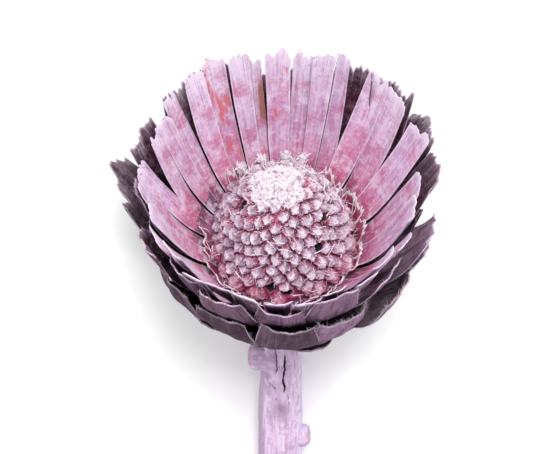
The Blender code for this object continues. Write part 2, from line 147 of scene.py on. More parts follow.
# Rings that the bracts grow from, as (radius, height) in mm
INNER_RING = ((19.6, -2.0), (18.9, -3.0), (8.3, -9.6), (8.3, -0.7), (17.2, -0.6))
MIDDLE_RING = ((21.1, -3.6), (20.5, -5.4), (8.3, -12.9), (8.3, -10.0))
OUTER_RING = (
    (20.4, -8.9), (19.4, -10.9), (13.4, -15.2), (9.8, -18.9), (7.6, -20.6), (6.1, -20.6), (8.4, -13.4),
)
RING_STEPS = 72

# Torn membranes round the dome: how many, and the gap among them in degrees
MEMBRANES = 44
MEMBRANE_GAP = (math.tau - math.radians(48), math.tau - math.radians(4))
# White tufts beyond the dome: azimuth in degrees, radius and height in mm of each
TUFTS = ((-60, 20.7, 4.6), (-75, 20.8, 5.2), (-93, 20.8, 5.4), (-105, 20.8, 5.3))
# Hairs of one tuft, places tried for hairs on the crown and on the teeth, and loose fibres at the rim
TUFT_HAIRS = 170
CROWN_TRIES = 3600
TOOTH_TRIES = 1200
LOOSE_FIBRES = 150

# Values that colour a bract, and are 0 where a row doesn't give them
LEAF_VALUES = ("warm", "pale", "deep", "brown", "frost", "rosy")

# Rows of broad bracts behind the straps, as the part has them, with lengths in mm. By a bract's number,
# ends holds how much further out and higher its end lies, its own turn in degrees and its end's slant,
# pale how much its back is lightened as painted light, and the last how strongly a pale wash lifts it, which
# is partly white bloom and partly painted light where it lies in shade.
MIDDLE_ROW = dict(
    count=16, first=-90.0, seed=21, line=((20.1, -3.9), (27.4, 2.9), (34.9, 25.6)), width=13.5, step=1.0,
    wider=1.4, columns=4, ragged=0.05, cup=0.05, ruffle=0.35, pointed=0.0, sunk=2.6, loose=1.0,
    ends={
        1: (0.0, 0.5, 8.0), 2: (0.9, 6.5, 2.0), 3: (1.6, 0.5), 5: (-0.8, 0.0), 6: (-1.0, 0.0),
        7: (-0.1, 5.5), 8: (0.0, 1.0, 0.0, -0.1), 9: (0.3, 6.5), 11: (0.8, 0.0), 12: (1.2, 0.5, 6.0),
        13: (2.4, 2.5), 14: (3.2, 4.5, -5.0), 15: (1.1, 6.5, -9.0),
    },
    pale={7: 0.5, 8: 1.0, 9: 1.0, 10: 1.0, 11: 0.5}, frost={4: 0.3, 9: 0.4, 10: 0.8, 11: 0.8, 12: 0.4},
)
OUTER_ROW = dict(
    count=14, first=-90.0, seed=31, line=((19.2, -9.8), (28.6, -7.9), (33.9, 14.0)), width=16.0, step=1.1,
    wider=1.2, columns=5, ragged=0.07, cup=0.05, ruffle=0.4, pointed=0.0, sunk=2.6, loose=1.0,
    ends={
        3: (5.6, 0.8, 2.0, -0.06), 4: (-1.0, 0.0), 5: (-1.4, 0.0), 6: (0.4, 0.0), 7: (0.0, 2.6),
        9: (1.0, 0.0), 10: (3.0, 0.0), 11: (-0.7, 0.0),
    },
    pale={7: 0.15, 8: 1.0, 9: 1.0, 10: 0.7},
    frost={3: 0.3, 6: 0.3, 7: 0.6, 8: 0.9, 9: 1.0, 10: 1.0, 11: 0.6},
)
SMALL_ROW = dict(columns=4, ragged=0.03, ruffle=0.0, ends={}, pale={}, frost={})
CARRYING_ROW = SMALL_ROW | dict(
    count=12, first=-75.0, seed=32, line=((16.8, -12.0), (23.6, -13.4), (26.8, -8.4)), width=12.5,
    step=1.1, wider=1.5, cup=0.06, pointed=1.2, sunk=2.0, loose=0.6,
    ends={5: (-2.4, 0.0, -6.0)}, pale={6: 1.6},
)
THIRD_ROW = SMALL_ROW | dict(
    count=12, first=-90.0, seed=33, line=((14.0, -14.4), (19.2, -16.2), (21.6, -12.8)), width=9.0,
    step=1.0, wider=1.0, cup=0.05, pointed=2.0, sunk=1.8, loose=0.4,
)
FOURTH_ROW = SMALL_ROW | dict(
    count=10, first=-90.0, seed=34, line=((11.4, -16.9), (15.4, -19.0), (17.8, -17.4)), width=8.0,
    step=0.9, wider=0.0, cup=0.04, pointed=2.6, sunk=1.5, loose=0.5,
)
FIFTH_ROW = SMALL_ROW | dict(
    count=8, first=-90.0, seed=35, line=((9.0, -19.2), (11.6, -21.2), (13.4, -21.0)), width=6.2,
    step=0.7, wider=0.0, cup=0.03, pointed=3.0, sunk=1.1, loose=0.5,
)

# Stem, in mm, with its ridges and the dish of its cut end
STEM_START = -20.6
STEM_RADIUS = 5.35
STEM_THICKENING = 0.10
STEM_SWELL = 0.03
STEM_RUN = 74.86
STEM_RIDGES = 7
RIDGE_DEPTH = 0.28
PRESSED_FLAT = 0.35
STEM_RINGS, STEM_STEPS, LID_RINGS = 300, 168, 9
DISH = 0.35

# Cracks and grooves of the bark: share of the stem's length at each end, angle in degrees at each end,
# width in mm and how deep it goes, as a share of the full depth in mm
CRACKS = (
    (0.465, 0.63, 97, 95, 0.55, 1.0), (0.632, 0.665, 76, 74, 0.40, 0.6), (0.55, 0.625, 22, 80, 0.34, 0.8),
    (0.40, 0.56, 70, 74, 0.22, 1.0), (0.66, 0.80, 124, 120, 0.20, 0.5), (0.72, 0.92, 42, 38, 0.22, 0.5),
    (0.60, 0.70, 108, 112, 0.18, 0.6), (0.2, 0.7, 250, 262, 0.4, 1.0), (0.74, 0.86, 66, 60, 0.18, 0.45),
)
CRACK_DEPTH = 0.75
# Mauve stain on the bark: its middle and half length as shares of the stem, then its middle and half
# width in degrees
STAIN = (0.685, 0.035, 88, 26)

# Cut side branches: share of the stem's length where each starts, its way, and its length and radius in mm
STUBS = {
    "stub": (0.52, (1.0, -0.04, 0.10), 9.0, 3.15),
    "nub": (0.81, (-1.0, -0.25, 0.12), 8.3, 2.6),
}
NUB_HORN = 1.1
# Rings of a side branch: share of its length, and share of its radius
STUB_RINGS = (
    (0.30, 1.9), (0.40, 1.7), (0.48, 1.42), (0.54, 1.22), (0.60, 1.12), (0.66, 1.12), (0.72, 1.17),
    (0.78, 1.20), (0.84, 1.18), (0.89, 1.10), (0.935, 0.96), (0.97, 0.76), (0.99, 0.54), (1.0, 0.32),
    (1.0, 0.14),
)
STUB_STEPS = 40

# Camera: degrees above the disc, distance from the head in mm, pixels to a millimetre there
CAMERA_RISE = math.radians(62)
CAMERA_DISTANCE = 400.0
PIXELS_PER_MM = 4.0
PICTURE = (555, 454)
HEAD_PIXEL = (282.0, 238.7)
SENSOR_WIDTH = 36

# Studio, in metres and watts
FLOOR_HALF = 1.5
FLOOR_HEIGHT = -0.0002
BOX_SIZE = 0.6
BOX_POWER = 32.0
BOX_DISTANCE = 2.0
SURROUND = 0.80


def noise(seed, *places):
    """Smooth noise from -1 to 1: random numbers on a lattice, blended by smoothstep weights."""
    period = 32
    table = np.random.default_rng(seed).uniform(-1, 1, (period,) * len(places))
    cells = [np.floor(place).astype(int) for place in places]
    shares = [place - cell for place, cell in zip(places, cells)]
    weights = [share * share * (3 - 2 * share) for share in shares]
    total = 0.0
    for corner in itertools.product((0, 1), repeat=len(places)):
        weight = 1.0
        for bit, one in zip(corner, weights):
            weight = weight * (one if bit else 1 - one)
        total = total + weight * table[tuple((cell + bit) % period for cell, bit in zip(cells, corner))]
    return total


def ramp(value, start, end):
    """Smooth step from 0 at start to 1 at end."""
    share = np.clip((value - start) / (end - start), 0, 1)
    return share * share * (3 - 2 * share)


def turns(steps):
    """Angles of steps spread evenly round a circle."""
    return np.arange(steps) * math.tau / steps


def sheet_faces(rows, columns):
    """Faces of a closed sheet: an upper grid, a lower grid and the strip round their edges."""
    near = (np.arange(rows - 1)[:, None] * columns + np.arange(columns - 1)).ravel()
    upper = np.stack((near, near + columns, near + columns + 1, near + 1), 1)
    under = rows * columns
    lower = upper[:, ::-1] + under
    down = np.arange(rows - 1) * columns
    right = down + columns - 1
    across = np.arange(columns - 1)
    tip = across + (rows - 1) * columns
    strips = [
        np.stack((down, down + under, down + columns + under, down + columns), 1),
        np.stack((right, right + columns, right + columns + under, right + under), 1),
        np.stack((across, across + 1, across + 1 + under, across + under), 1),
        np.stack((tip, tip + under, tip + 1 + under, tip + 1), 1),
    ]
    return np.concatenate((upper, lower, *strips))


def round_faces(rows, steps, closed):
    """Faces of rings carried along a path: closed into a loop, or with a fan to a pole at each end."""
    ring = np.arange(rows if closed else rows - 1)[:, None]
    step = np.arange(steps)[None, :]
    after = (step + 1) % steps
    ring, below = ring * steps, (ring + 1) % rows * steps
    quads = np.stack((ring + step, below + step, below + after, ring + after), -1).reshape(-1, 4)
    if closed:
        return quads, np.zeros((0, 3), int)
    top, bottom = rows * steps, rows * steps + 1
    step, after = step[0], after[0]
    last = (rows - 1) * steps
    fans = np.concatenate((
        np.stack((np.full(steps, top), step, after), 1),
        np.stack((np.full(steps, bottom), last + after, last + step), 1),
    ))
    return quads, fans


def link(name, data):
    """A new object in the scene."""
    made = bpy.data.objects.new(name, data)
    bpy.context.scene.collection.objects.link(made)
    return made


class Body:
    """Points, faces and per-point values of one piece, gathered before its mesh is made."""

    def __init__(self):
        self.points, self.faces, self.values, self.count = [], [], [], 0

    def add(self, points, faces, **values):
        """Add points of shape (..., 3) with faces that count from this shape's first point."""
        flat = points.reshape(-1, 3)
        for group in faces:
            if len(group):
                self.faces.append(group + self.count)
        self.points.append(flat)
        self.values.append({
            key: np.broadcast_to(value, points.shape[:-1]).reshape(-1) for key, value in values.items()
        })
        self.count += len(flat)

    def make(self, name, place, surface, sharp=55):
        """The finished mesh object at the origin, its points in the frame by place."""
        points = np.concatenate(self.points)
        points = points @ np.array(place.to_3x3()).T * MM + np.array(place.translation)
        points[:, 2] = np.maximum(points[:, 2], 0)
        faces = [face for group in self.faces for face in group.tolist()]
        mesh = bpy.data.meshes.new(name)
        mesh.from_pydata(points.tolist(), [], faces)
        keys = sorted({key for values in self.values for key in values})
        for key in keys:
            column = np.concatenate([
                values.get(key, np.zeros(len(points))) for values, points in zip(self.values, self.points)
            ])
            mesh.attributes.new(key, "FLOAT", "POINT").data.foreach_set("value", column.astype(np.float32))
        mesh.shade_smooth()
        mesh.set_sharp_from_angle(angle=math.radians(sharp))
        mesh.materials.append(surface)
        return link(name, mesh)


def repeated(faces, size, count):
    """The faces of one shape, repeated for each of count shapes of that many points."""
    return (faces[None] + (np.arange(count) * size)[:, None, None]).reshape(-1, faces.shape[1])


def leaf_width(share):
    """Width of an ovate bract as a share of its full width: a sine that reaches 1 at the belly."""
    return 0.66 + 0.34 * np.sin(np.pi * np.minimum(1.0, share / BELLY / 2))


def strap_width(share):
    """Width of a strap as a share of its full width: narrow at the root, then even."""
    return np.minimum(1.0, 0.62 + 0.75 * share)


def leaf(azimuth, line, seed, columns, ragged, slant=0.0, **rest):
    """One bract of the part: its place, and the same draws for its ragged, slanting end and its waves."""
    draw = random.Random(seed)
    jag = [draw.uniform(-ragged, ragged) + slant * (2 * c / (columns - 1) - 1) for c in range(columns)]
    return dict(azimuth=azimuth, line=line, jag=jag, phase=draw.uniform(0, math.tau), **rest)


def strap_leaves():
    """The straps of the bowl, spread evenly within each group between two slits."""
    places = []
    for (start, count), (end, _) in zip(STRAP_GROUPS, STRAP_GROUPS[1:] + ((LAST_SLIT, 0),)):
        pitch = math.radians(end - start) / count
        slits = [SLITS[start]] + [(-STRAP_LAP, 0.0)] * (count - 1) + [SLITS.get(end, SLITS[156])]
        for k in range(count):
            places.append((math.radians(start) + pitch * (k + 0.5), pitch / 2, slits[k], slits[k + 1]))
    draw = random.Random(11)
    leaves = []
    for number, (azimuth, room, low_slit, high_slit) in enumerate(places):
        root, middle, (radius, height) = STRAP_LINE
        longer = draw.uniform(-1.4, 1.2) - STRAP_SIDE_DROP * math.cos(azimuth) ** 2
        longer -= STRAP_TOP_DROP * max(0.0, -math.sin(azimuth)) ** 3
        further, higher = STRAP_ENDS.get(number, (0.0, 0.0))
        radius += draw.uniform(-0.3, 0.4) + STRAP_END_SLOPE * longer + further
        twist = math.radians(draw.uniform(-4, 4))
        leaves.append(leaf(
            azimuth, (root, middle, (radius, height + longer + higher)), number, 4, 0.03, twist=twist,
            cup=draw.uniform(-0.02, 0.06), step=STRAP_ROW_STEP * (number % 2), ruffle=0.3, pointed=0.0,
            sunk=2.6, width=STRAP_WIDTH, room=room, slits=(low_slit, high_slit),
            # pale lightens the backs of the straps listed, as painted light
            warm=CORAL_STRAPS.get(number, 0.0), pale=float(number in STRAPS_WITH_PAINTED_LIGHT_BACKS),
            # deep tints the roots on one side coral, and darkens their feet as painted shade in the gap by
            # the dome
            deep=max(0.0, math.cos(azimuth + 0.36)) ** 7, brown=float(number == BROWN_STRAP),
            # A pale wash lifts the lower part of these straps: partly white bloom, partly painted light
            # where they lie in shade.
            frost=BLOOM_AND_PAINTED_LIGHT_WASH.get(number, 0.0), rosy=math.cos(azimuth) ** 2,
        ))
    return leaves


def row_leaves(row):
    """One row of broad bracts, every second one a step further out."""
    draw = random.Random(row["seed"])
    count = row["count"]
    leaves = []
    for number in range(count):
        level = min(number, count - 1 - number) if row is CARRYING_ROW else number
        free = 0.0 if number in (0, count - 1) else row["loose"]
        turn = number + free * draw.uniform(-TURN_STRAY, TURN_STRAY)
        further, higher, round_head, slant = (*row["ends"].get(number, ()), 0.0, 0.0, 0.0, 0.0)[:4]
        azimuth = math.radians(row["first"] + round_head) + math.tau * turn / count
        further += row["wider"] * math.cos(azimuth) ** 2 + free * draw.uniform(-OUT_STRAY, OUT_STRAY)
        higher += free * draw.uniform(-HEIGHT_STRAY, HEIGHT_STRAY)
        root, middle, (radius, height) = row["line"]
        leaves.append(leaf(
            azimuth, (root, middle, (radius + further, height + higher)), row["seed"] * 100 + number,
            slant=slant, twist=math.radians(free * draw.uniform(-TWIST_STRAY, TWIST_STRAY)),
            step=row["step"] * (level % 2), pale=row["pale"].get(number, 0.0),
            frost=row["frost"].get(number, 0.0),
            **{key: row[key] for key in ("columns", "ragged", "cup", "ruffle", "pointed", "sunk", "width")},
        ))
    return leaves


def add_sheets(body, leaves, width, rows, columns, thickness, seed, fray, notch, folds, relief, curl,
               incurve=0.0, near_curl=0.0):
    """Add all bracts of a row as closed sheets, and give their points (bract, face, row, column, 3).

    Each bract's middle surface is the part's: a curve in the plane of its azimuth, a shallow arc
    across it, and a twist that grows to the end. Lengthwise folds lift it by the relief in mm, and
    so do finer ribs. Its edges curl by up to the curl in mm, and its end bends in by the incurve as
    a share of half its width, or further on the near side. The end is frayed by noise across it and
    cut by a few narrow notches, both as shares of its length. The two faces lie half the thickness
    to either side of the middle surface, and both thin out towards the edges.
    """
    draw = np.random.default_rng(seed)
    count = len(leaves)
    share = np.linspace(0, 1, rows)[None, :, None]
    side = np.linspace(-1, 1, columns)[None, None, :]

    def each(key):
        return np.array([one.get(key, 0.0) for one in leaves], float)[:, None, None]

    def across_end(values):
        spot = (side[0, 0] + 1) / 2 * (len(values) - 1)
        cell = np.minimum(spot.astype(int), len(values) - 2)
        part = ramp(spot - cell, 0, 1)
        return np.array(values)[cell] * (1 - part) + np.array(values)[cell + 1] * part

    lot = draw.uniform(0, 1, count)[:, None, None]
    near = np.maximum(0, np.sin(each("azimuth")))
    jag = np.array([across_end(one["jag"]) for one in leaves]) * (0.9 - 0.66 * near[:, :, 0])
    fray, notch = fray * (1.1 - 0.7 * near[:, 0]), notch * (1 - 0.8 * near)
    rough = noise(seed + 1, side * 4.0 + lot * 31, lot * 57) * 0.6
    rough = rough + noise(seed + 2, side * 11.0 + lot * 17, lot * 9)
    end = 1 + jag[:, None, :] + fray[:, None] * rough
    for _ in range(4):
        middle = draw.uniform(-0.8, 0.8, count)[:, None, None]
        deep = draw.uniform(0, 1, count)[:, None, None] ** 2 * notch
        end = end - deep * np.exp(-np.abs((side - middle) / 0.06) ** 1.2)
    end = end - 0.012 * ramp(np.abs(side), 0.75, 1.0)
    t = share * (1 + (end - 1) * ramp(share, 0.55, 1.0))

    line = np.array([one["line"] for one in leaves], float)[:, None, None]
    first, second, third = line[..., 0, :], line[..., 1, :], line[..., 2, :]
    t = t[..., None]
    place = (1 - t) ** 2 * first + 2 * t * (1 - t) * second + t * t * third
    along = 2 * (1 - t) * (second - first) + 2 * t * (third - second)
    along = along / np.linalg.norm(along, axis=-1, keepdims=True)
    place = place - along * (each("sunk") * np.clip(1 - share / 0.08, 0, 1))[..., None]
    radius, height = place[..., 0], place[..., 1]
    run, rise = along[..., 0], along[..., 1]

    taper = 1 - each("pointed") * np.maximum(0, share - POINT_START) ** 2
    half = each("width") * width(share) * taper / 2
    if "room" in leaves[0]:
        slits = np.array([one["slits"] for one in leaves])[..., None, None]
        wide, shut = (np.where(side < 0, slits[:, 0, k], slits[:, 1, k]) for k in (0, 1))
        opened = np.where(wide < 0, 0.0, np.clip((share - shut) / (1 - shut), 0, 1) ** 1.4)
        gap = wide * opened - STRAP_LAP * (1 - opened)
        half = np.minimum(radius * np.tan(each("room")) - gap / 2, WIDEST_STRAP / 2)
    half = half * (1 + 0.03 * noise(seed + 3, share * 6 + lot * 23, lot * 41 + np.sign(side)))
    angle = each("twist") * share
    relief = relief * (1 - 0.55 * near)
    lift = side ** 2 * (half ** 2 / (2 * radius) + each("cup") * share * half)
    lift = lift + each("ruffle") * share * side * np.sin(RUFFLE_WAVES * share + each("phase"))
    lift = lift - each("step") + side * half * np.sin(angle)
    phase = lot * 40
    ribs = noise(seed + 4, side * 3 * folds + phase, share * 2.5 + phase)
    crumple = noise(seed + 5, side * 1.6 + phase, share * 3 + phase)
    lift = lift + relief * share ** 0.5 * np.cos(np.pi * folds * side + phase)
    lift = lift + 0.6 * relief * share ** 0.5 * ribs
    lift = lift + curl * (2 * lot - 0.6) * side ** 4 * share ** 2
    lift = lift + 2.5 * relief * ramp(share, 0.6, 1.0) * crumple
    lift = lift + (incurve + near_curl * near) * ramp(share, 0.62, 1.25) * each("width") / 2
    across = side * half * np.cos(angle)

    out = radius - rise * lift
    up = height + run * lift
    cos, sin = np.cos(each("azimuth")), np.sin(each("azimuth"))
    surface = np.stack((cos * out - sin * across, sin * out + cos * across, up), -1)
    normal = np.cross(np.gradient(surface, axis=1), np.gradient(surface, axis=2))
    normal /= np.linalg.norm(normal, axis=-1, keepdims=True) + 1e-9
    depth = thickness / 2 * (0.3 + 0.7 * (1 - side ** 6)) * (1 - 0.5 * share ** 8)
    off = normal * depth[..., None]
    points = np.stack((surface + off, surface - off), 1)
    body.add(
        points, [repeated(sheet_faces(rows, columns), 2 * rows * columns, count)],
        along=share[:, None], across=side[:, None], lot=lot[:, None],
        face=np.array((1.0, -1.0))[:, None, None], **{key: each(key)[:, None] for key in LEAF_VALUES},
    )
    return points


def add_ring(body, profile):
    """Add the ring that a row grows from: a closed profile turned about the head's axis."""
    turn = turns(RING_STEPS)
    radius, height = np.array(profile, float).T[:, :, None]
    points = np.stack((radius * np.cos(turn), radius * np.sin(turn), height + 0 * turn), -1)
    quads, _ = round_faces(len(profile), RING_STEPS, closed=True)
    body.add(points, [quads], along=0.0, across=0.0, lot=0.5, face=-1.0)


def dome_frame(radius, azimuth):
    """Point, normal, downhill and sideways directions on the paraboloid dome."""
    cos, sin = np.cos(azimuth), np.sin(azimuth)
    slope = DOME_BEND * radius
    size = np.sqrt(1 + slope ** 2)
    place = np.stack((radius * cos, radius * sin, DOME_HEIGHT - DOME_BEND * radius ** 2 / 2), -1)
    normal = np.stack((slope * cos, slope * sin, np.ones_like(slope)), -1) / size[..., None]
    downhill = np.stack((cos, sin, -slope), -1) / size[..., None]
    sideways = np.stack((-sin, cos, 0 * cos), -1)
    return place, normal, downhill, sideways


def pit_middles():
    """The middle of each dark hole on the dome, with its radius."""
    for radius, azimuth, hole in PITS:
        yield dome_frame(np.array(radius), np.array(math.radians(azimuth)))[0], hole


def spiral(count, total, crowding):
    """Radius and azimuth of the first points of a golden-angle spiral, spread over the dome's area."""
    whole = (1 + (DOME_BEND * DOME_RADIUS) ** 2) ** 1.5 - 1
    share = ((np.arange(count) + 0.5) / total) ** crowding
    radius = np.sqrt((1 + whole * share) ** (2 / 3) - 1) / DOME_BEND
    return radius, np.arange(count) * math.pi * (3 - math.sqrt(5))


def pyramids(place, centres):
    """The nearest centre of each point, the height of a pyramid over its cell from 0 to 1, and its ridges.

    A cell holds the points that are nearer to its centre c than to any other. The height falls evenly
    from the centre to each border: the least of (|x - b|^2 - |x - c|^2) / |b - c|^2 over the others b.
    A ridge runs where the two least of these are the same.
    """
    def apart(one, two):
        return (one ** 2).sum(1)[:, None] + (two ** 2).sum(1)[None] - 2 * one @ two.T

    distance = apart(place, centres)
    between_centres = apart(centres, centres) + 1e9 * np.eye(len(centres))
    nearest = distance.argmin(1)
    ahead = distance - distance.min(1)[:, None]
    ahead[np.arange(len(place)), nearest] = 1e9
    least, second = np.partition(ahead / between_centres[nearest], 1, axis=1)[:, :2].T
    return nearest, least.clip(0, 1), np.exp(-((second - least) / 0.07) ** 2)


def crown_share(place):
    """From 0 to 1: how far inside the felted crown each point lies, within a rounded square."""
    offset = [np.abs(place[..., k] - CROWN_MIDDLE[k]) / CROWN_REACH[k] for k in (0, 1)]
    far = (offset[0] ** 3 + offset[1] ** 3) ** (1 / 3)
    far = far + 0.10 * noise(54, place[..., 0] * 0.7, place[..., 1] * 0.7)
    return 1 - ramp(far, 0.88, 1.06)


def add_dome(body):
    """Dome and neck: a tooth raised over each cell of the spiral, grains on the crown, holes of lost teeth.

    A tooth stands on steep sides and ends in a blunt pyramid that is drawn down the slope. The
    rings are evenly spaced down the dome, and the neck's profile follows below them.
    """
    fine = np.linspace(0, DOME_RADIUS, 1500)
    length = np.concatenate(([0], np.cumsum(np.hypot(np.diff(fine), np.diff(DOME_BEND * fine ** 2 / 2)))))
    radius = np.interp(np.linspace(0.004, 1, DOME_RINGS) * length[-1], length, fine)[:, None]
    turn = turns(DOME_STEPS)[None, :]
    place, normal, downhill, _ = dome_frame((radius + 0 * turn).ravel(), (turn + 0 * radius).ravel())

    draw = np.random.default_rng(61)
    tooth_radius, tooth_turn = spiral(TEETH, TEETH + RIM_CELLS_LEFT, TOP_CROWDING)
    tooth_turn = tooth_turn + draw.normal(0, 0.10, TEETH) / np.maximum(tooth_radius, 2)
    size = np.minimum(1.0, TOP_TOOTH_SIZE + tooth_radius / DOME_RADIUS * 0.8)
    size = size * draw.uniform(0.82, 1.18, TEETH)
    lots = draw.uniform(0, 1, TEETH)
    centres, *_ = dome_frame(tooth_radius, tooth_turn)
    lost = np.zeros(TEETH)
    pit_distance = np.full(len(place), 99.0)
    for middle, hole in pit_middles():
        closest = np.linalg.norm(centres - middle, axis=1).argmin()
        centres[closest] = middle
        lost[closest] = 1.0
        pit_distance = np.minimum(pit_distance, np.linalg.norm(place - middle, axis=1) / hole)
    centres = centres + draw.normal(0, 0.26, centres.shape)
    heights = draw.uniform(0.62, 1.22, TEETH)
    nearest, share, ridge = pyramids(place, centres)
    x, y, z = place.T
    wobble = 0.09 * noise(51, x * 2.2, y * 2.2, z * 2.2) + 0.08 * noise(52, x * 4.4, y * 4.4, z * 4.4)
    share = np.clip(share + wobble * 1.8, 0, 1)
    side = ramp(share, 0.08, 0.42)
    rise = 0.46 * side + 0.54 * np.minimum(share, 0.88)
    size = size[nearest]
    tall = size * heights[nearest] * TOOTH_HEIGHT * 1.3 * rise * (0.4 + 0.6 * ramp(pit_distance, 1.1, 2.6))
    from_axis = np.hypot(x, y)
    droop = size * TOOTH_DROOP * (0.7 + 0.7 * lots[nearest]) * share ** 0.8 * np.minimum(1, from_axis / 6)

    crown = crown_share(place)
    grain_radius, grain_turn = spiral(int(GRAINS * 0.42), GRAINS, 1.0)
    grain_centres, *_ = dome_frame(grain_radius, grain_turn)
    grain_centres = grain_centres + draw.normal(0, 0.27, grain_centres.shape)
    grain_centres = grain_centres[crown_share(grain_centres) > 0]
    inside = crown > 0
    grain = np.zeros(len(place))
    grain[inside] = pyramids(place[inside], grain_centres)[1]
    felt = 0.62 + 0.36 * noise(55, x * 0.6, y * 0.6, z * 0.6) + 0.46 * noise(56, x * 1.6, y * 1.6, z * 1.6)
    felt = felt + 0.30 * ramp(grain, 0.0, 0.7) + 0.22 * noise(57, x * 4.0, y * 4.0, z * 4.0)
    tall = tall * (1 - crown) + felt * crown
    droop = droop * (1 - crown)
    grey = np.exp(-(np.hypot(x - GREY_TOOTH[0], y - GREY_TOOTH[1]) / 0.62) ** 4)
    tall = tall + 0.9 * grey

    pit = 1 - ramp(pit_distance, 0.75, 1.0)
    pit_shade = 1 - ramp(pit_distance, 0.85, 1.2)
    left_over = 1 - 0.7 * lost[nearest]
    tall = tall * left_over * (1 - pit) - PIT_DEPTH * pit
    droop = droop * left_over
    dusk = np.exp(-((x - SHADED_PATCH[0]) / SHADED_PATCH[2]) ** 2 - ((y - SHADED_PATCH[1]) / SHADED_PATCH[3]) ** 2)
    edge = ramp(from_axis + 0.8 * noise(58, x * 0.5, y * 0.5), 14.9, 16.6)
    # Rim on the dark side, which the material darkens as painted shade in the gap by the straps
    deep = edge * np.maximum(0, np.cos(np.arctan2(y, x) - DARK_SIDE)) ** 8
    rim = ramp(DOME_RADIUS - from_axis, 0, 0.5)
    surface = place + normal * ((tall + wobble) * rim)[:, None] + downhill * (droop * rim)[:, None]
    # Which side of its tooth each point lies on, for the painted shade on one side of every tooth
    facing = np.clip((centres[nearest, 0] - x) / 1.1, -1, 1)

    neck_radius, neck_height = np.array(NECK_PROFILE, float).T[:, :, None]
    neck = np.stack((neck_radius * np.cos(turn), neck_radius * np.sin(turn), neck_height + 0 * turn), -1)
    raised = surface[:DOME_STEPS, 2].mean() - place[:DOME_STEPS, 2].mean()
    ends = np.array([(0, 0, DOME_HEIGHT + raised), (0, 0, NECK_PROFILE[-1][1])])
    points = np.concatenate((surface, neck.reshape(-1, 3), ends))
    on_dome = dict(
        rise=rise * left_over, ridge=ridge, crown=crown, pit=pit_shade, dusk=dusk, edge=edge, deep=deep,
        lot=lots[nearest], grain=grain, facing=facing, grey=grey,
    )
    on_neck = dict(edge=1.0, lot=0.5)
    left = len(points) - len(surface)
    body.add(points, round_faces(DOME_RINGS + len(NECK_PROFILE), DOME_STEPS, closed=False), **{
        key: np.concatenate((value, np.full(left, on_neck.get(key, 0.0)))) for key, value in on_dome.items()
    })


def crown_hairs(body):
    """White felt of short hairs over the crown of the dome."""
    draw = np.random.default_rng(83)
    radius = 11.0 * np.sqrt(draw.uniform(0, 1, CROWN_TRIES))
    place, normal, _, _ = dome_frame(radius, draw.uniform(0, math.tau, CROWN_TRIES))
    kept = crown_share(place) > draw.uniform(0.0, 0.9, CROWN_TRIES)
    place, normal = place[kept], normal[kept]
    count = len(place)
    ways = normal + draw.normal(0, 0.8, (count, 3))
    add_hairs(body, place + normal * 0.5, ways, draw.uniform(0.5, 1.3, count), thick=0.13, seed=84)


def dome_hairs(body):
    """Short hairs on the flanks of the teeth, and long loose fibres that lie over the dome's rim."""
    draw = np.random.default_rng(85)
    radius = DOME_RADIUS * np.sqrt(draw.uniform(0.1, 1, TOOTH_TRIES))
    place, normal, downhill, _ = dome_frame(radius, draw.uniform(0, math.tau, TOOTH_TRIES))
    clear = np.ones(TOOTH_TRIES, bool)
    for middle, hole in pit_middles():
        clear &= np.linalg.norm(place - middle, axis=1) > 1.4 * hole
    clear &= (radius < 14.5) | (place @ np.array((math.cos(DARK_SIDE), math.sin(DARK_SIDE), 0)) < 11.0)
    place, normal, downhill = place[clear], normal[clear], downhill[clear]
    count = len(place)
    ways = normal * 0.5 + downhill * 0.7 + draw.normal(0, 0.5, (count, 3))
    up = draw.uniform(0.7, 1.9, count)[:, None]
    add_hairs(body, place + normal * up, ways, draw.uniform(0.5, 1.4, count), thick=0.11, seed=86)

    radius = DOME_RADIUS * (1.04 - 0.6 * draw.uniform(0, 1, LOOSE_FIBRES) ** 1.8)
    place, normal, downhill, aside = dome_frame(radius, draw.uniform(0.1, 5.4, LOOSE_FIBRES))
    ways = aside * draw.normal(0, 1, LOOSE_FIBRES)[:, None]
    ways = ways + downhill * draw.normal(0, 0.6, LOOSE_FIBRES)[:, None] + normal * 0.2
    up = draw.uniform(1.2, 2.2, LOOSE_FIBRES)[:, None]
    add_hairs(body, place + normal * up, ways, draw.uniform(1.5, 4.5, LOOSE_FIBRES), thick=0.26, seed=87)


def fringe_leaves():
    """Torn membranes that line the straps' roots, with a gap at the dome's dark holes."""
    draw = random.Random(71)
    leaves = []
    for number in range(MEMBRANES):
        azimuth = math.tau * (number + draw.uniform(-0.4, 0.4)) / MEMBRANES
        tall = draw.uniform(1.4, 5.2)
        out = draw.uniform(0.0, 0.8)
        if MEMBRANE_GAP[0] < azimuth < MEMBRANE_GAP[1]:
            continue
        line = ((17.4 + out * 0.5, -1.3), (18.7 + out * 0.6, -0.1), (18.9 + out + 0.26 * tall, tall))
        leaves.append(leaf(
            azimuth, line, 7100 + number, 7, 0.15, twist=math.radians(draw.uniform(-14, 14)),
            cup=draw.uniform(-0.10, 0.16), ruffle=draw.uniform(0.1, 0.4), pointed=draw.uniform(0, 1.2),
            sunk=1.0, width=draw.uniform(2.6, 5.6),
        ))
    return leaves


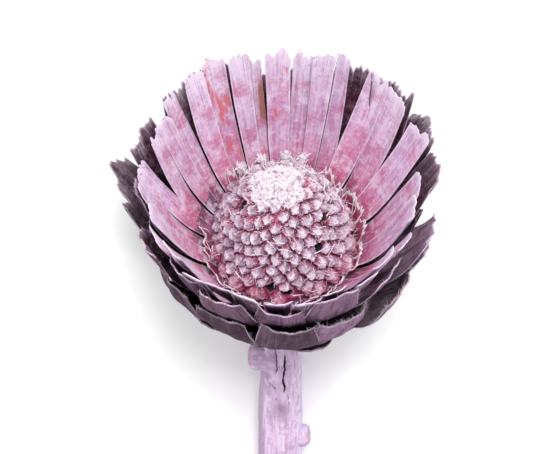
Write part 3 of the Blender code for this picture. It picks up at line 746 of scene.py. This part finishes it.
def add_hairs(body, roots, ways, lengths, thick, seed):
    """Fine hairs: three-sided tubes of four rings along a line that bends aside, closed at both ends."""
    draw = np.random.default_rng(seed)
    count, rings, sides = len(roots), 4, 3
    ways = ways / np.linalg.norm(ways, axis=-1, keepdims=True)
    bend = draw.normal(0, 1, (count, 3))
    bend -= ways * (bend * ways).sum(-1, keepdims=True)
    side = bend / np.linalg.norm(bend, axis=-1, keepdims=True)
    other = np.cross(ways, side)
    v = np.linspace(0, 1, rings)[None, :, None, None]
    turn = turns(sides)[None, None, :, None]
    lengths = lengths[:, None, None, None]
    curve = ways[:, None, None] * v * lengths + side[:, None, None] * 0.35 * v ** 2 * lengths
    reach = thick / 2 * (1 - 0.8 * v)
    around = side[:, None, None] * np.cos(turn) + other[:, None, None] * np.sin(turn)
    size = rings * sides
    points = (roots[:, None, None] + curve + around * reach).reshape(count, size, 3)
    quads, _ = round_faces(rings, sides, closed=False)
    ends = np.array(((0, 1, 2), (size - 1, size - 2, size - 3)))
    body.add(
        points, [repeated(quads[:, ::-1], size, count), repeated(ends, size, count)],
        along=np.repeat(np.linspace(0, 1, rings), sides)[None, :], lot=draw.uniform(0, 1, count)[:, None],
    )


def edge_hairs(body, points, how_many, length, seed, thick=0.07):
    """Hairs along the edges and the end of every bract of a row, pointing outwards over the edge."""
    draw = np.random.default_rng(seed)
    middle = points.mean(1)
    count, rows, columns, _ = middle.shape
    bract = draw.integers(0, count, how_many)
    row = np.minimum(rows - 1, (rows * (1 - 0.55 * draw.uniform(0, 1, how_many) ** 1.5)).astype(int))
    at_end = draw.uniform(0, 1, how_many) < 0.45
    row = np.where(at_end, rows - 1, row)
    edge = np.where(draw.uniform(0, 1, how_many) < 0.5, 0, columns - 1)
    column = np.where(at_end, draw.integers(0, columns, how_many), edge)
    within = np.clip(column, 3, columns - 4)
    roots = middle[bract, row, column]
    outward = roots - middle[bract, np.maximum(row - 3, 0), within]
    far = np.linalg.norm(outward, axis=-1, keepdims=True)
    outward = outward + draw.normal(0, 0.35, outward.shape) * far
    add_hairs(body, roots, outward, length * draw.uniform(0.4, 1.2, how_many), thick, seed + 1)


def tuft_hairs(body):
    """White tufts between the dome and the straps at the head's far side."""
    draw = np.random.default_rng(81)
    roots, ways = [], []
    for azimuth, radius, height in TUFTS:
        turn = math.radians(azimuth)
        middle = np.array((radius * math.cos(turn), radius * math.sin(turn), height))
        out = np.array((math.cos(turn), math.sin(turn), 0))
        roots.append(middle + draw.normal(0, 0.45, (TUFT_HAIRS, 3)))
        ways.append(np.array((0, 0, 1)) - 0.5 * out + draw.normal(0, 0.9, (TUFT_HAIRS, 3)))
    roots, ways = np.concatenate(roots), np.concatenate(ways)
    add_hairs(body, roots, ways, draw.uniform(0.5, 1.2, len(roots)), thick=0.42, seed=82)


def stem_frame(t, place):
    """Point and directions on the stem's cubic centre line, in mm, as the part draws it."""
    axis = np.array(place.to_3x3() @ Vector((0, 0, 1)))
    origin = np.array(place.translation) / MM
    start = origin + axis * STEM_START
    thick_end = STEM_RADIUS * (1 + STEM_THICKENING) + RIDGE_DEPTH
    end = np.array((origin[0] + 0.9, start[1] + STEM_RUN, thick_end - PRESSED_FLAT))
    one = start - axis * 10
    two = start + (end - start) * 0.45 + np.array((-0.6, 0, -0.9))
    t = t[..., None]
    s = 1 - t
    point = start * s ** 3 + one * 3 * s * s * t + two * 3 * s * t * t + end * t ** 3
    along = (one - start) * 3 * s * s + (two - one) * 6 * s * t + (end - two) * 3 * t * t
    along = along / np.linalg.norm(along, axis=-1, keepdims=True)
    side = np.cross(along, np.array((0.0, 0.0, 1.0)))
    side /= np.linalg.norm(side, axis=-1, keepdims=True)
    up = np.cross(side, along)
    return point, along, side, up


def add_stem(body, place):
    """Stem: rings along its centre line, ridged and furrowed by noise stretched along it, split by cracks.

    Its cut end closes inwards in rings, slightly dished, and so does its butt against the neck.
    """
    t = np.linspace(0, 1, STEM_RINGS)[:, None]
    turn = turns(STEM_STEPS)[None, :]
    point, along, side, up = stem_frame(t[:, 0], place)
    cos, sin = np.cos(turn), np.sin(turn)
    run = STEM_RUN * t
    reach = STEM_RADIUS * (1 + STEM_THICKENING * t + STEM_SWELL * np.sin(3 * math.pi * t))
    reach = reach + RIDGE_DEPTH * np.cos(STEM_RIDGES * turn + 0.6 * np.sin(2 * turn))
    for seed, height, wide, long in ((91, 0.20, 2.2, 0.10), (92, 0.13, 6.0, 0.22), (93, 0.06, 14.0, 0.7)):
        reach = reach + height * noise(seed, wide * cos, wide * sin, run * long)
    crack = np.zeros((STEM_RINGS, STEM_STEPS))
    for start, end, first_angle, last_angle, width, depth in CRACKS:
        part = np.clip((t - start) / (end - start), 0, 1)
        angle = np.radians(first_angle + (last_angle - first_angle) * part)
        wander = 0.05 * noise(94, run * 0.35, np.full_like(run, first_angle))
        wander = wander + 0.03 * noise(98, run * 1.3, run * 0)
        off = (turn - angle - wander + math.pi) % math.tau - math.pi
        inside = ramp(t, start, start + 0.015) * (1 - ramp(t, end - 0.02, end))
        wide = width * (1 + 0.5 * noise(99, run * 0.9, np.full_like(run, last_angle)))
        crack = np.maximum(crack, depth * inside * np.exp(-(off * STEM_RADIUS / (wide / 2)) ** 2))
    reach = reach - CRACK_DEPTH * crack
    spot = ((t - STAIN[0]) / STAIN[1]) ** 2 + ((np.degrees(turn) - STAIN[2]) / STAIN[3]) ** 2
    stain = np.exp(-spot ** 2 * (1 + 0.6 * noise(100, run * 0.6, 3 * cos, 3 * sin)))
    surface = point[:, None] + side[:, None] * (reach * cos)[..., None]
    surface = surface + up[:, None] * (reach * sin)[..., None]
    surface[..., 2] = np.maximum(surface[..., 2], 0)
    shares = np.linspace(1, 0, LID_RINGS + 2)[1:-1]
    caps = []
    for row, way in ((0, -1), (-1, 1)):
        middle = point[row]
        dish = way * DISH * (shares ** 2 - 1)[:, None, None] * along[row]
        caps.append(middle + (surface[row] - middle)[None] * shares[:, None, None] + dish)
    points = np.concatenate((caps[0][::-1], surface, caps[1])).reshape(-1, 3)
    points = np.concatenate((points, [point[0] + DISH * along[0], point[-1] - DISH * along[-1]]))
    rings = STEM_RINGS + 2 * LID_RINGS
    around = np.tile(turn[0], rings)
    length = np.concatenate((np.zeros(LID_RINGS), t[:, 0], np.ones(LID_RINGS)))
    bare = np.zeros(LID_RINGS * STEM_STEPS)
    cut = np.repeat(1 - shares * 0.9, STEM_STEPS)
    body.add(
        points, round_faces(rings, STEM_STEPS, closed=False), lot=0.3,
        along=np.concatenate((np.repeat(length, STEM_STEPS), (0, 1))),
        crack=np.concatenate((bare, crack.ravel(), bare, (0, 0))),
        stain=np.concatenate((bare, stain.ravel(), bare, (0, 0))),
        cut=np.concatenate((bare, 0 * crack.ravel(), cut, (0, 1))),
        round_x=np.concatenate((np.cos(around), (0, 0))), round_y=np.concatenate((np.sin(around), (0, 0))),
    )


def add_stubs(body, place):
    """Cut side branches: ringed collars that flare into the stem and close with a torn, dished end."""
    v, grow = np.array(STUB_RINGS).T[:, :, None]
    turn = turns(STUB_STEPS)[None, :]
    cos, sin = np.cos(turn), np.sin(turn)
    for name, (share, way, reach, radius) in STUBS.items():
        root, *_ = stem_frame(np.array([share]), place)
        way = np.array(way) / np.linalg.norm(way)
        side = np.cross(way, (0, 0, 1.0))
        side /= np.linalg.norm(side)
        up = np.cross(side, way)
        bark = 1 + 0.09 * noise(95, 1.6 * cos + share * 9, 1.6 * sin, v * 4)
        bark = bark + 0.05 * noise(96, 7 * cos, 7 * sin + share * 5, v * 9)
        wide = radius * grow * bark
        points = root[0] + way * (reach * v + 0 * turn)[..., None]
        points = points + side * (wide * cos)[..., None] + up * (wide * sin)[..., None]
        torn = 0.35 * noise(97, 3 * cos, 3 * sin + share * 7, v * 3) * ramp(v, 0.85, 1.0)
        if name == "nub":
            horn = np.exp(-((turn - math.pi) / 0.55) ** 2)
            torn = torn + NUB_HORN * horn * ramp(v, 0.75, 0.95) * ramp(grow, 0.4, 1.0)
        points = points + way * torn[..., None]
        points = np.concatenate((points.reshape(-1, 3), root, root + way * reach * 0.93))
        rings = len(v)
        cut = np.concatenate((np.repeat(ramp(-grow[:, 0], -0.9, -0.6), STUB_STEPS), (0, 1)))
        body.add(
            points, round_faces(rings, STUB_STEPS, closed=False), along=0.5, crack=0.0, lot=0.8,
            cut=cut * 0.8, round_x=np.concatenate((np.tile(cos[0], rings), (0, 0))),
            round_y=np.concatenate((np.tile(sin[0], rings), (0, 0))),
        )


def colour(text):
    """A linear colour with alpha from an sRGB hex value."""
    levels = [int(text[k:k + 2], 16) / 255 for k in (1, 3, 5)]
    linear = [x / 12.92 if x <= 0.04045 else ((x + 0.055) / 1.055) ** 2.4 for x in levels]
    return (*linear, 1.0)


# Noise on Object coordinates has its scale in lumps to a metre: 950 gives powder of about 1 mm, 270 gives
# patches of 4 mm and 125 stains of 8 mm. Real bloom and felt are finer than the render shows, so they are
# drawn as coarse as they need to show.

# How the materials use each kind of node: its settings, the sockets of its inputs in turn, and its output
NODE_USES = {
    "Attribute": ({}, (), "Fac"),
    "Bump": ({}, ("Strength", "Distance", "Height"), 0),
    "BsdfPrincipled": ({}, ("Base Color", "Roughness", "Normal", "Specular IOR Level"), 0),
    "CombineXYZ": ({}, (0, 1, 2), 0),
    "MapRange": ({"interpolation_type": "SMOOTHSTEP"}, (0, 1, 2, 3, 4), 0),
    "Math": ({}, (0, 1, 2), 0),
    "Mix": ({"data_type": "RGBA"}, (0, 6, 7), 2),
    "OutputMaterial": ({}, ("Surface",), None),
    "TexCoord": ({}, (), "Object"),
    "TexNoise": ({}, ("Vector", "Scale", "Detail", "Roughness"), 0),
    "ValToRGB": ({}, (0,), 0),
}


def new_surface(name, values=""):
    """An empty material, the one function that adds a node to it, and sockets of a piece's named values."""
    made = bpy.data.materials.new(name)
    made.use_nodes = True
    tree = made.node_tree
    tree.nodes.clear()

    def add(kind, *inputs, stops=(), **settings):
        """Add one node and give its output. Inputs are sockets, numbers or hex colours, and stops a ramp's.

        A kind in capitals is the operation of a Math node.
        """
        if kind.isupper():
            kind, settings = "Math", {"operation": kind}
        usual, sockets, output = NODE_USES[kind]
        node = tree.nodes.new("ShaderNode" + kind)
        for key, value in {**usual, **settings}.items():
            setattr(node, key, value)
        for socket, value in zip(sockets, inputs):
            if isinstance(value, bpy.types.NodeSocket):
                tree.links.new(value, node.inputs[socket])
            elif value is not None:
                node.inputs[socket].default_value = colour(value) if isinstance(value, str) else value
        if stops:
            elements = node.color_ramp.elements
            while len(elements) < len(stops):
                elements.new(0.5)
            for element, (position, tone) in zip(elements, stops):
                element.position = position
                element.color = colour(tone)
        return node.outputs[output] if node.outputs else None

    return made, add, [add("Attribute", attribute_name=key) for key in values.split()]


def laid_over(add, tint, *layers):
    """The tint with layers mixed into it in turn: each has a colour, a value, a span and factors.

    The value is the layer's share. A span maps it smoothly, from its first two numbers to 0 and 1 or to
    its last two. The factors multiply it.
    """
    for tone, share, span, *factors in layers:
        if span:
            share = add("MapRange", share, *span)
        for factor in factors:
            share = add("MULTIPLY", share, factor)
        tint = add("Mix", share, tint, tone)
    return tint


def finish_surface(add, tint, roughness, height=None, bump=0.3, depth=0.0002, specular=None):
    """Principled shader with the colour, a bump with its depth in metres, and a specular level if given."""
    raised = None if height is None else add("Bump", bump, depth, height)
    add("OutputMaterial", add("BsdfPrincipled", tint, roughness, raised, specular))


def dry_bract(name, inside, outside, rim, fibres, mottle, pink, dust, rim_width, end_rim, pale):
    """Dried bract: papery plant fibre with a white waxy bloom.

    Fibres run lengthwise, so streaks of tone and fine grooves do too. The bloom has worn thin in
    long patches, which show the pink beneath, and lies as white dust elsewhere. The thin edges have
    dried pale, and sun has turned the bloom of a few bracts coral. Mottle, pink and dust are each a
    colour and how strongly it shows.
    """
    made, add, (along, across, lot, face, warm, painted_light_on_back, deep, brown, frost, rosy) = new_surface(
        name, "along across lot face warm pale deep brown frost rosy")
    (mottle, mottled), (pink, pinked), (dust, dusted) = mottle, pink, dust

    def streaks(wide, long, turn, detail):
        x = add("MULTIPLY_ADD", across, wide, add("MULTIPLY", lot, turn))
        y = add("MULTIPLY_ADD", along, long, add("MULTIPLY", lot, turn / 3))
        return add("TexNoise", add("CombineXYZ", x, y, add("MULTIPLY", lot, 13.0)), 1.0, detail, 0.62)

    fibre, thread = streaks(fibres, 3.0, 61.0, 4.0), streaks(fibres * 3.0, 7.0, 23.0, 3.0)
    blotch, band = streaks(1.3, 3.6, 37.0, 3.0), streaks(3.4, 1.1, 71.0, 3.0)
    wear, glow = streaks(2.2, 4.6, 83.0, 5.0), streaks(1.1, 5.5, 47.0, 3.0)
    place = add("TexCoord")
    powder, patch, stain = (add("TexNoise", place, *kind) for kind in (
        (950.0, 4.0, 0.7), (270.0, 5.0, 0.66), (125.0, 4.0, 0.6)))

    shade = add("ADD", along, add("MULTIPLY_ADD", fibre, 0.26, -0.13))
    shade = add("ADD", shade, add("MULTIPLY_ADD", blotch, 0.44, -0.22))
    shade = add("MULTIPLY_ADD", rosy, -0.12, shade)
    painted_light_reach = add("ADD", along, add("MULTIPLY_ADD", wear, 1.2, -0.6))
    # A pale tone spreads over the backs from their ends, lightening the backs given a pale share as painted
    # light.
    lower = laid_over(
        add, add("ValToRGB", shade, stops=outside),
        (pale, painted_light_reach, (0.50, 0.95, 0.0, 0.85), painted_light_on_back),
        ("#5c3a50", blotch, (0.50, 0.64, 0.0, 0.45)),
    )
    # The pale wash on the inner face is partly white bloom and partly painted light on bracts that lie in
    # shade.
    upper = laid_over(
        add, add("ValToRGB", shade, stops=inside), (rim, along, (0.14, 0.38, 0.0, 0.72), frost))

    bloomed = add("MapRange", face, -0.2, 0.2, 0.18, 1.0)
    low = add("ADD", along, add("MULTIPLY_ADD", blotch, 0.3, -0.15))
    white = add("MULTIPLY", add("MapRange", powder, 0.52, 0.66), dusted)
    white = add("MAXIMUM", white, add("MapRange", patch, 0.50, 0.66, 0.0, dusted * 1.2))
    sunned = add("ADD", glow, add("MULTIPLY_ADD", warm, 0.42, -0.42))
    patched = add("MULTIPLY", add("MapRange", along, 0.56, 0.66), add("MapRange", along, 0.92, 0.84))
    patched = add("MULTIPLY", patched, add("MapRange", add("ADD", across, glow), 1.0, 0.3, 0.0, 0.85))
    edge = add("MapRange", add("ABSOLUTE", across), 1 - rim_width, 1.0 - rim_width * 0.3)
    edge = add("MAXIMUM", edge, add("MapRange", along, 1 - end_rim * 2, 1 - end_rim * 0.5))
    tint = laid_over(
        add, lower,
        (upper, face, (-0.2, 0.2)),
        ("#dc7690", low, (0.48, 0.34, 0.0, 0.75), deep),
        # Dark maroon at the roots on one side is painted shade in the gap by the dome.
        ("#3a0c1d", low, (0.30, 0.20), deep),
        (pink, wear, (0.50, 0.64), pinked, bloomed, add("MapRange", along, 0.98, 0.82)),
        (mottle, band, (0.47, 0.36, 0.0, mottled * 0.8)),
        (dust, band, (0.53, 0.64, 0.0, 0.45 * dusted)),
        (mottle, thread, (0.50, 0.36, 0.0, mottled)),
        (pink, stain, (0.49, 0.62, 0.0, pinked * 1.1), bloomed, add("MapRange", along, 1.0, 0.84)),
        (dust, white, None, bloomed),
        (pink, patch, (0.45, 0.34, 0.0, pinked * 0.45), bloomed),
        (mottle, powder, (0.42, 0.33, 0.0, mottled)),
        (mottle, lot, (0.55, 1.0, 0.0, 0.14)),
        ("#d66c74", sunned, (0.44, 0.56, 0.0, 0.85)),
        ("#a4603f", patched, None, brown),
        (rim, patch, (0.40, 0.60, 0.35, 0.85), edge),
    )
    height = add("ADD", fibre, add("MULTIPLY", powder, 0.5))
    finish_surface(add, tint, 0.8, height, 0.55, 0.0003, 0.18)
    return made


def dome_surface():
    """Receptacle: felted woody teeth, white with bloom at their tips and rose red in between.

    The faces of each tooth turned one way are tinted grey mauve as painted shade, and a white line along
    each ridge is a painted highlight.
    """
    made, add, (rise, crown, pit, lot, grain, facing, grey, ridge, dusk, edge, deep) = new_surface(
        "felted receptacle scales", "rise crown pit lot grain facing grey ridge dusk edge deep")
    place = add("TexCoord")
    mottle, broad = add("TexNoise", place, 900.0, 3.0), add("TexNoise", place, 160.0, 2.0)
    fine = add("TexNoise", place, 2300.0, 2.0, 0.7)
    # Rose red between the teeth and white at their tips; the maroon at the foot of the gaps is painted
    # shade.
    tint = add("ValToRGB", add("ADD", rise, add("MULTIPLY_ADD", mottle, 0.40, -0.20)), stops=(
        (0.0, "#4c1228"), (0.14, "#822f4c"), (0.30, "#a55a7a"), (0.52, "#b090a6"), (0.85, "#dacdd8")))
    turned = add("MULTIPLY_ADD", mottle, 0.5, add("MULTIPLY_ADD", facing, 0.5, -0.25))
    felt = add("MULTIPLY_ADD", grain, 0.5, add("MULTIPLY_ADD", mottle, 1.5, -0.55))
    white = add("ValToRGB", felt, stops=(
        (0.0, "#8a6a7d"), (0.20, "#c0abba"), (0.45, "#e0d5de"), (0.8, "#efe8ee")))
    # Painted highlight: a white line along the ridges of the raised teeth
    painted_ridge_highlight = add("MULTIPLY", add("MapRange", rise, 0.12, 0.4, 0.0, 0.75), add("MapRange", mottle, 0.40, 0.55))
    tint = laid_over(
        add, tint,
        # Painted shade: one side of each tooth goes grey mauve.
        ("#7a5f76", turned, (0.0, 0.28), add("MapRange", rise, 0.22, 0.45, 0.0, 0.72)),
        ("#8f7c8c", lot, (0.55, 0.95), add("MapRange", rise, 0.2, 0.5, 0.0, 0.38)),
        ("#b4486f", broad, (0.54, 0.66), add("MapRange", rise, 0.95, 0.4, 0.0, 0.6)),
        # Painted highlight along the ridges.
        ("#f4e9f1", ridge, (0.3, 0.9), painted_ridge_highlight),
        ("#5f3c50", fine, (0.46, 0.36, 0.0, 0.45)),
        ("#f0e4ec", fine, (0.56, 0.68, 0.0, 0.45)),
        # Painted shade: a patch of teeth beside the crown is tinted darker.
        ("#83506a", dusk, None, 0.55),
        ("#a83a60", mottle, (0.62, 0.42, 0.25, 0.8), edge),
        # Painted shade: the rim on the dark side goes near black.
        ("#3d0f20", deep, None, 0.8),
        (white, crown, (0.25, 0.8)),
        ("#8d7686", grey, None, 0.85),
        # Painted shade: the holes of lost teeth go near black.
        ("#1c0a12", pit, (0.15, 0.5)),
    )
    finish_surface(add, tint, 0.85, mottle, 0.5)
    return made


def membrane_surface():
    """Torn membrane at the bract bases: thin skin, rose red below, dried white along its torn edge."""
    made, add, (along, across, lot) = new_surface("torn membrane", "along across lot")
    mottle = add("TexNoise", add("TexCoord"), 700.0, 3.0)
    tint = add("ValToRGB", add("ADD", along, add("MULTIPLY_ADD", mottle, 0.4, -0.2)), stops=(
        (0.0, "#58102c"), (0.3, "#82203f"), (0.65, "#a4375c"), (0.95, "#bb5c80")))
    edge = add("MapRange", add("ABSOLUTE", across), 0.82, 0.92)
    edge = add("MAXIMUM", edge, add("MapRange", along, 0.84, 0.93))
    tint = laid_over(add, tint, ("#dc9cb8", lot, (0.7, 0.95, 0.0, 0.3)), ("#fdf8fb", edge, None))
    finish_surface(add, tint, 0.7, mottle)
    return made


def hair_surface(name, low, high):
    """Dry silky hairs: pale, a little darker at the root."""
    made, add, (along, lot) = new_surface(name, "along lot")
    shade = add("MULTIPLY_ADD", lot, 0.4, add("MULTIPLY", along, 0.6))
    finish_surface(add, add("ValToRGB", shade, stops=((0.0, low), (1.0, high))), 0.6)
    return made


def bark_surface():
    """Dry bark with a pale bloom: grey-lilac, streaked mauve along the stem, black in its cracks.

    Where it is cut, the bare wood shows its rings.
    """
    made, add, (along, crack, cut, x, y, lot, stain) = new_surface(
        "dry bloomed bark", "along crack cut round_x round_y lot stain")

    def streaks(wide, long, detail):
        turned = add("MULTIPLY_ADD", x, wide, add("MULTIPLY", lot, 17.0))
        spot = add("CombineXYZ", turned, add("MULTIPLY", y, wide), add("MULTIPLY", along, long))
        return add("TexNoise", spot, 1.0, detail, 0.65)

    broad, fine = streaks(1.6, 6.0, 4.0), streaks(7.0, 16.0, 5.0)
    place = add("TexCoord")
    patch, grain = add("TexNoise", place, 330.0, 5.0, 0.7), add("TexNoise", place, 900.0, 3.0)
    rings = add("TexNoise", add("CombineXYZ", add("MULTIPLY", cut, 9.0)), 1.0, 2.0)
    grain = add("ADD", add("MULTIPLY", grain, 0.4), add("MULTIPLY", rings, 0.6))
    wood = add("ValToRGB", grain, stops=((0.35, "#a9748f"), (0.65, "#e0c4d6")))
    tint = add("ValToRGB", broad, stops=(
        (0.30, "#b491b6"), (0.42, "#cbaccf"), (0.55, "#dac3de"), (0.70, "#e9d9eb")))
    tint = laid_over(
        add, tint,
        ("#9a6f96", fine, (0.45, 0.36, 0.0, 0.5)),
        ("#a582a8", patch, (0.46, 0.36, 0.0, 0.5)),
        ("#f2e4f3", patch, (0.54, 0.66, 0.0, 0.6)),
        # Painted sheen and shade: a pale bluish tint along one side of the stem, and grey along the other.
        ("#c9c4e4", x, (-0.76, -0.95, 0.0, 0.6)),
        ("#a592a6", x, (0.80, 0.97, 0.0, 0.7)),
        ("#8d6a8c", stain, None, 0.55),
        ("#150b12", crack, (0.25, 0.7)),
        (wood, cut, (0.05, 0.3)),
    )
    finish_surface(add, tint, 0.85, fine, 0.6, 0.0004)
    return made


def paper_surface():
    """Plain pale studio floor with the faint tooth of matt board."""
    made, add, _ = new_surface("matt board")
    tooth = add("TexNoise", add("TexCoord"), 300.0, 3.0)
    finish_surface(add, add("ValToRGB", tooth, stops=((0.3, "#fcfcfc"), (0.7, "#ffffff"))), 0.9, tooth, 0.05)
    return made


def keep(piece, slot, *nodes):
    """A finished piece: it rides on the part and hides the nodes that it stands for; its slot is not used.
    """
    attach(piece, "root")
    if nodes:
        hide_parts(*nodes)


def make_camera(place):
    """The photograph's viewing angle: above the disc on the stem's side, with the stem running down."""
    turn = place.to_3x3()
    axis, down = turn @ Vector((0, 0, 1)), turn @ Vector((0, -1, 0))
    to_camera = axis * math.sin(CAMERA_RISE) - down * math.cos(CAMERA_RISE)
    picture_up = axis * math.cos(CAMERA_RISE) + down * math.sin(CAMERA_RISE)
    right = picture_up.cross(to_camera)
    data = bpy.data.cameras.new("camera")
    data.sensor_width = SENSOR_WIDTH
    data.lens = data.sensor_width * CAMERA_DISTANCE * PIXELS_PER_MM / PICTURE[0]
    data.shift_x = (PICTURE[0] / 2 - HEAD_PIXEL[0]) / PICTURE[0]
    data.shift_y = (HEAD_PIXEL[1] - PICTURE[1] / 2) / PICTURE[0]
    eye = place.translation + to_camera * CAMERA_DISTANCE * MM
    look = Matrix((right, picture_up, to_camera)).transposed().to_4x4()
    camera = link("camera", data)
    camera.matrix_world = Matrix.Translation(eye) @ look
    bpy.context.scene.camera = camera
    return to_camera, picture_up, right


def make_studio(place, to_camera, picture_up, right):
    """Pale floor under the flower, a soft box behind and above the camera, and an even white surround."""
    mesh = bpy.data.meshes.new("floor")
    ways = ((-1, -1), (1, -1), (1, 1), (-1, 1))
    mesh.from_pydata([(x * FLOOR_HALF, y * FLOOR_HALF, FLOOR_HEIGHT) for x, y in ways], [], [(0, 1, 2, 3)])
    mesh.materials.append(paper_surface())
    floor = link("floor", mesh)
    data = bpy.data.lights.new("soft box", "AREA")
    data.shape = "SQUARE"
    data.size = BOX_SIZE
    data.energy = BOX_POWER
    lamp = link("soft box", data)
    spot = place.translation + (to_camera * 0.94 + picture_up * 0.30 + right * 0.08) * BOX_DISTANCE
    turn = (spot - place.translation).to_track_quat("Z", "Y").to_matrix().to_4x4()
    lamp.matrix_world = Matrix.Translation(spot) @ turn
    world = bpy.data.worlds.new("studio")
    world.use_nodes = True
    surround = world.node_tree.nodes["Background"].inputs
    surround["Color"].default_value = (1, 1, 1, 1)
    surround["Strength"].default_value = SURROUND
    bpy.context.scene.world = world
    bpy.context.scene.view_settings.view_transform = "Standard"


def main():
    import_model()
    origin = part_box("receptacle")[0] - Vector(RECEPTACLE_LOW) * MM
    place = Matrix.Translation(origin) @ Matrix.Rotation(math.pi / 2 - HEAD_RISE, 4, "X")

    bowl = dry_bract(
        "dried bract, pink with white bloom",
        inside=((0.0, "#6e1636"), (0.10, "#952e4e"), (0.19, "#ba4e72"), (0.27, "#dc8aab"), (0.37, "#e8b0ce"),
                (0.58, "#dfbadb"), (0.82, "#e4cae6"), (0.97, "#f2e4f5")),
        # The straps' backs are near black as painted shade, where they turn away into the gap under the rim.
        outside=((0.0, "#1a0a14"), (0.5, "#2a1222"), (0.85, "#3e2236"), (1.0, "#5a3a52")),
        rim="#f0e0f2", fibres=9.0, mottle=("#a27aa8", 0.55), pink=("#c8648f", 0.5), dust=("#f4e8f7", 0.5),
        rim_width=0.14, end_rim=0.022, pale="#94708c")
    plum = dry_bract(
        "dried bract, plum with pale rim",
        inside=((0.0, "#2c0f1e"), (0.6, "#361526"), (0.88, "#472434"), (0.96, "#7d6a76"), (1.0, "#b9abb3")),
        outside=((0.0, "#1a0815"), (0.5, "#2c1126"), (0.85, "#462540"), (1.0, "#64405e")),
        rim="#d8bcd8", fibres=12.0, mottle=("#2a111e", 0.6), pink=("#6b2c46", 0.5), dust=("#bfa6bc", 0.28),
        rim_width=0.05, end_rim=0.007, pale="#9a7093")
    dark = dry_bract(
        "dried bract, dark plum",
        inside=((0.0, "#260d1a"), (0.55, "#2f1322"), (0.84, "#42222f"), (0.95, "#7d6b75"), (1.0, "#b4a7ae")),
        outside=((0.0, "#14070f"), (0.5, "#230e1c"), (0.85, "#371a30"), (1.0, "#4e3148")),
        rim="#cab2c6", fibres=13.0, mottle=("#22101a", 0.6), pink=("#5d2c40", 0.5), dust=("#b897b6", 0.32),
        rim_width=0.05, end_rim=0.007, pale="#b089ad")

    inner = Body()
    inner_points = add_sheets(
        inner, strap_leaves(), strap_width, rows=44, columns=27, thickness=0.5, seed=101,
        fray=0.006, notch=0.03, folds=1.6, relief=0.11, curl=0.5)
    add_ring(inner, INNER_RING)
    keep(inner.make("inner_bract_straps", place, bowl), "inner_bracts", "inner_bracts")

    middle = Body()
    middle_points = add_sheets(
        middle, row_leaves(MIDDLE_ROW), leaf_width, rows=40, columns=33, thickness=0.55, seed=102,
        fray=0.016, notch=0.045, folds=2.6, relief=0.22, curl=1.2, incurve=0.25)
    add_ring(middle, MIDDLE_RING)
    keep(middle.make("middle_bract_row", place, plum), "middle_bracts", "middle_bracts")

    outer = Body()
    outer_points = add_sheets(
        outer, row_leaves(OUTER_ROW), leaf_width, rows=40, columns=37, thickness=0.6, seed=103,
        fray=0.020, notch=0.05, folds=3.0, relief=0.25, curl=1.3, incurve=0.15, near_curl=0.24)
    for number, (row, rows, columns) in enumerate((
            (CARRYING_ROW, 26, 25), (THIRD_ROW, 20, 19), (FOURTH_ROW, 18, 17), (FIFTH_ROW, 16, 15))):
        add_sheets(
            outer, row_leaves(row), leaf_width, rows, columns, thickness=0.8 - 0.05 * number,
            seed=104 + number, fray=0.02, notch=0.03, folds=2.4, relief=0.12, curl=0.3)
    add_ring(outer, OUTER_RING)
    keep(outer.make("outer_bract_rows", place, dark), "outer_bracts", "outer_bracts")

    dome = Body()
    add_dome(dome)
    keep(dome.make("toothed_receptacle", place, dome_surface(), sharp=60), "receptacle", "receptacle")

    fringe = Body()
    add_sheets(
        fringe, fringe_leaves(), leaf_width, rows=12, columns=22, thickness=0.28, seed=110,
        fray=0.035, notch=0.12, folds=1.5, relief=0.10, curl=0.3)
    keep(fringe.make("membrane_fringe", place, membrane_surface()), "inner_bracts")

    tufts = Body()
    tuft_hairs(tufts)
    crown_hairs(tufts)
    dome_hairs(tufts)
    silky = hair_surface("white silky hair", "#e6d8e2", "#ffffff")
    keep(tufts.make("white_tufts", place, silky), "inner_bracts")

    threads = Body()
    edge_hairs(threads, inner_points[3:19], 70, length=0.6, seed=127, thick=0.26)
    edge_hairs(threads, inner_points[11:13], 16, length=0.9, seed=131, thick=0.32)
    edge_hairs(threads, middle_points[:8], 60, length=0.8, seed=129, thick=0.26)
    dry = hair_surface("dark dry thread", "#2c1620", "#6a4a5a")
    keep(threads.make("dark_tip_threads", place, dry), "inner_bracts")

    hairs = Body()
    edge_hairs(hairs, middle_points, 1100, length=0.8, seed=121)
    edge_hairs(hairs, outer_points, 1100, length=0.9, seed=123)
    edge_hairs(hairs, outer_points[8:11], 650, length=1.7, seed=125)
    grey = hair_surface("grey silky hair", "#b9a6b5", "#f2e9f0")
    keep(hairs.make("bract_edge_hairs", place, grey), "outer_bracts")

    stem = Body()
    add_stem(stem, place)
    add_stubs(stem, place)
    keep(stem.make("barked_stem", Matrix.Identity(4), bark_surface(), sharp=60), "stem", "stem")

    make_studio(place, *make_camera(place))
    bpy.context.view_layer.update()


main()
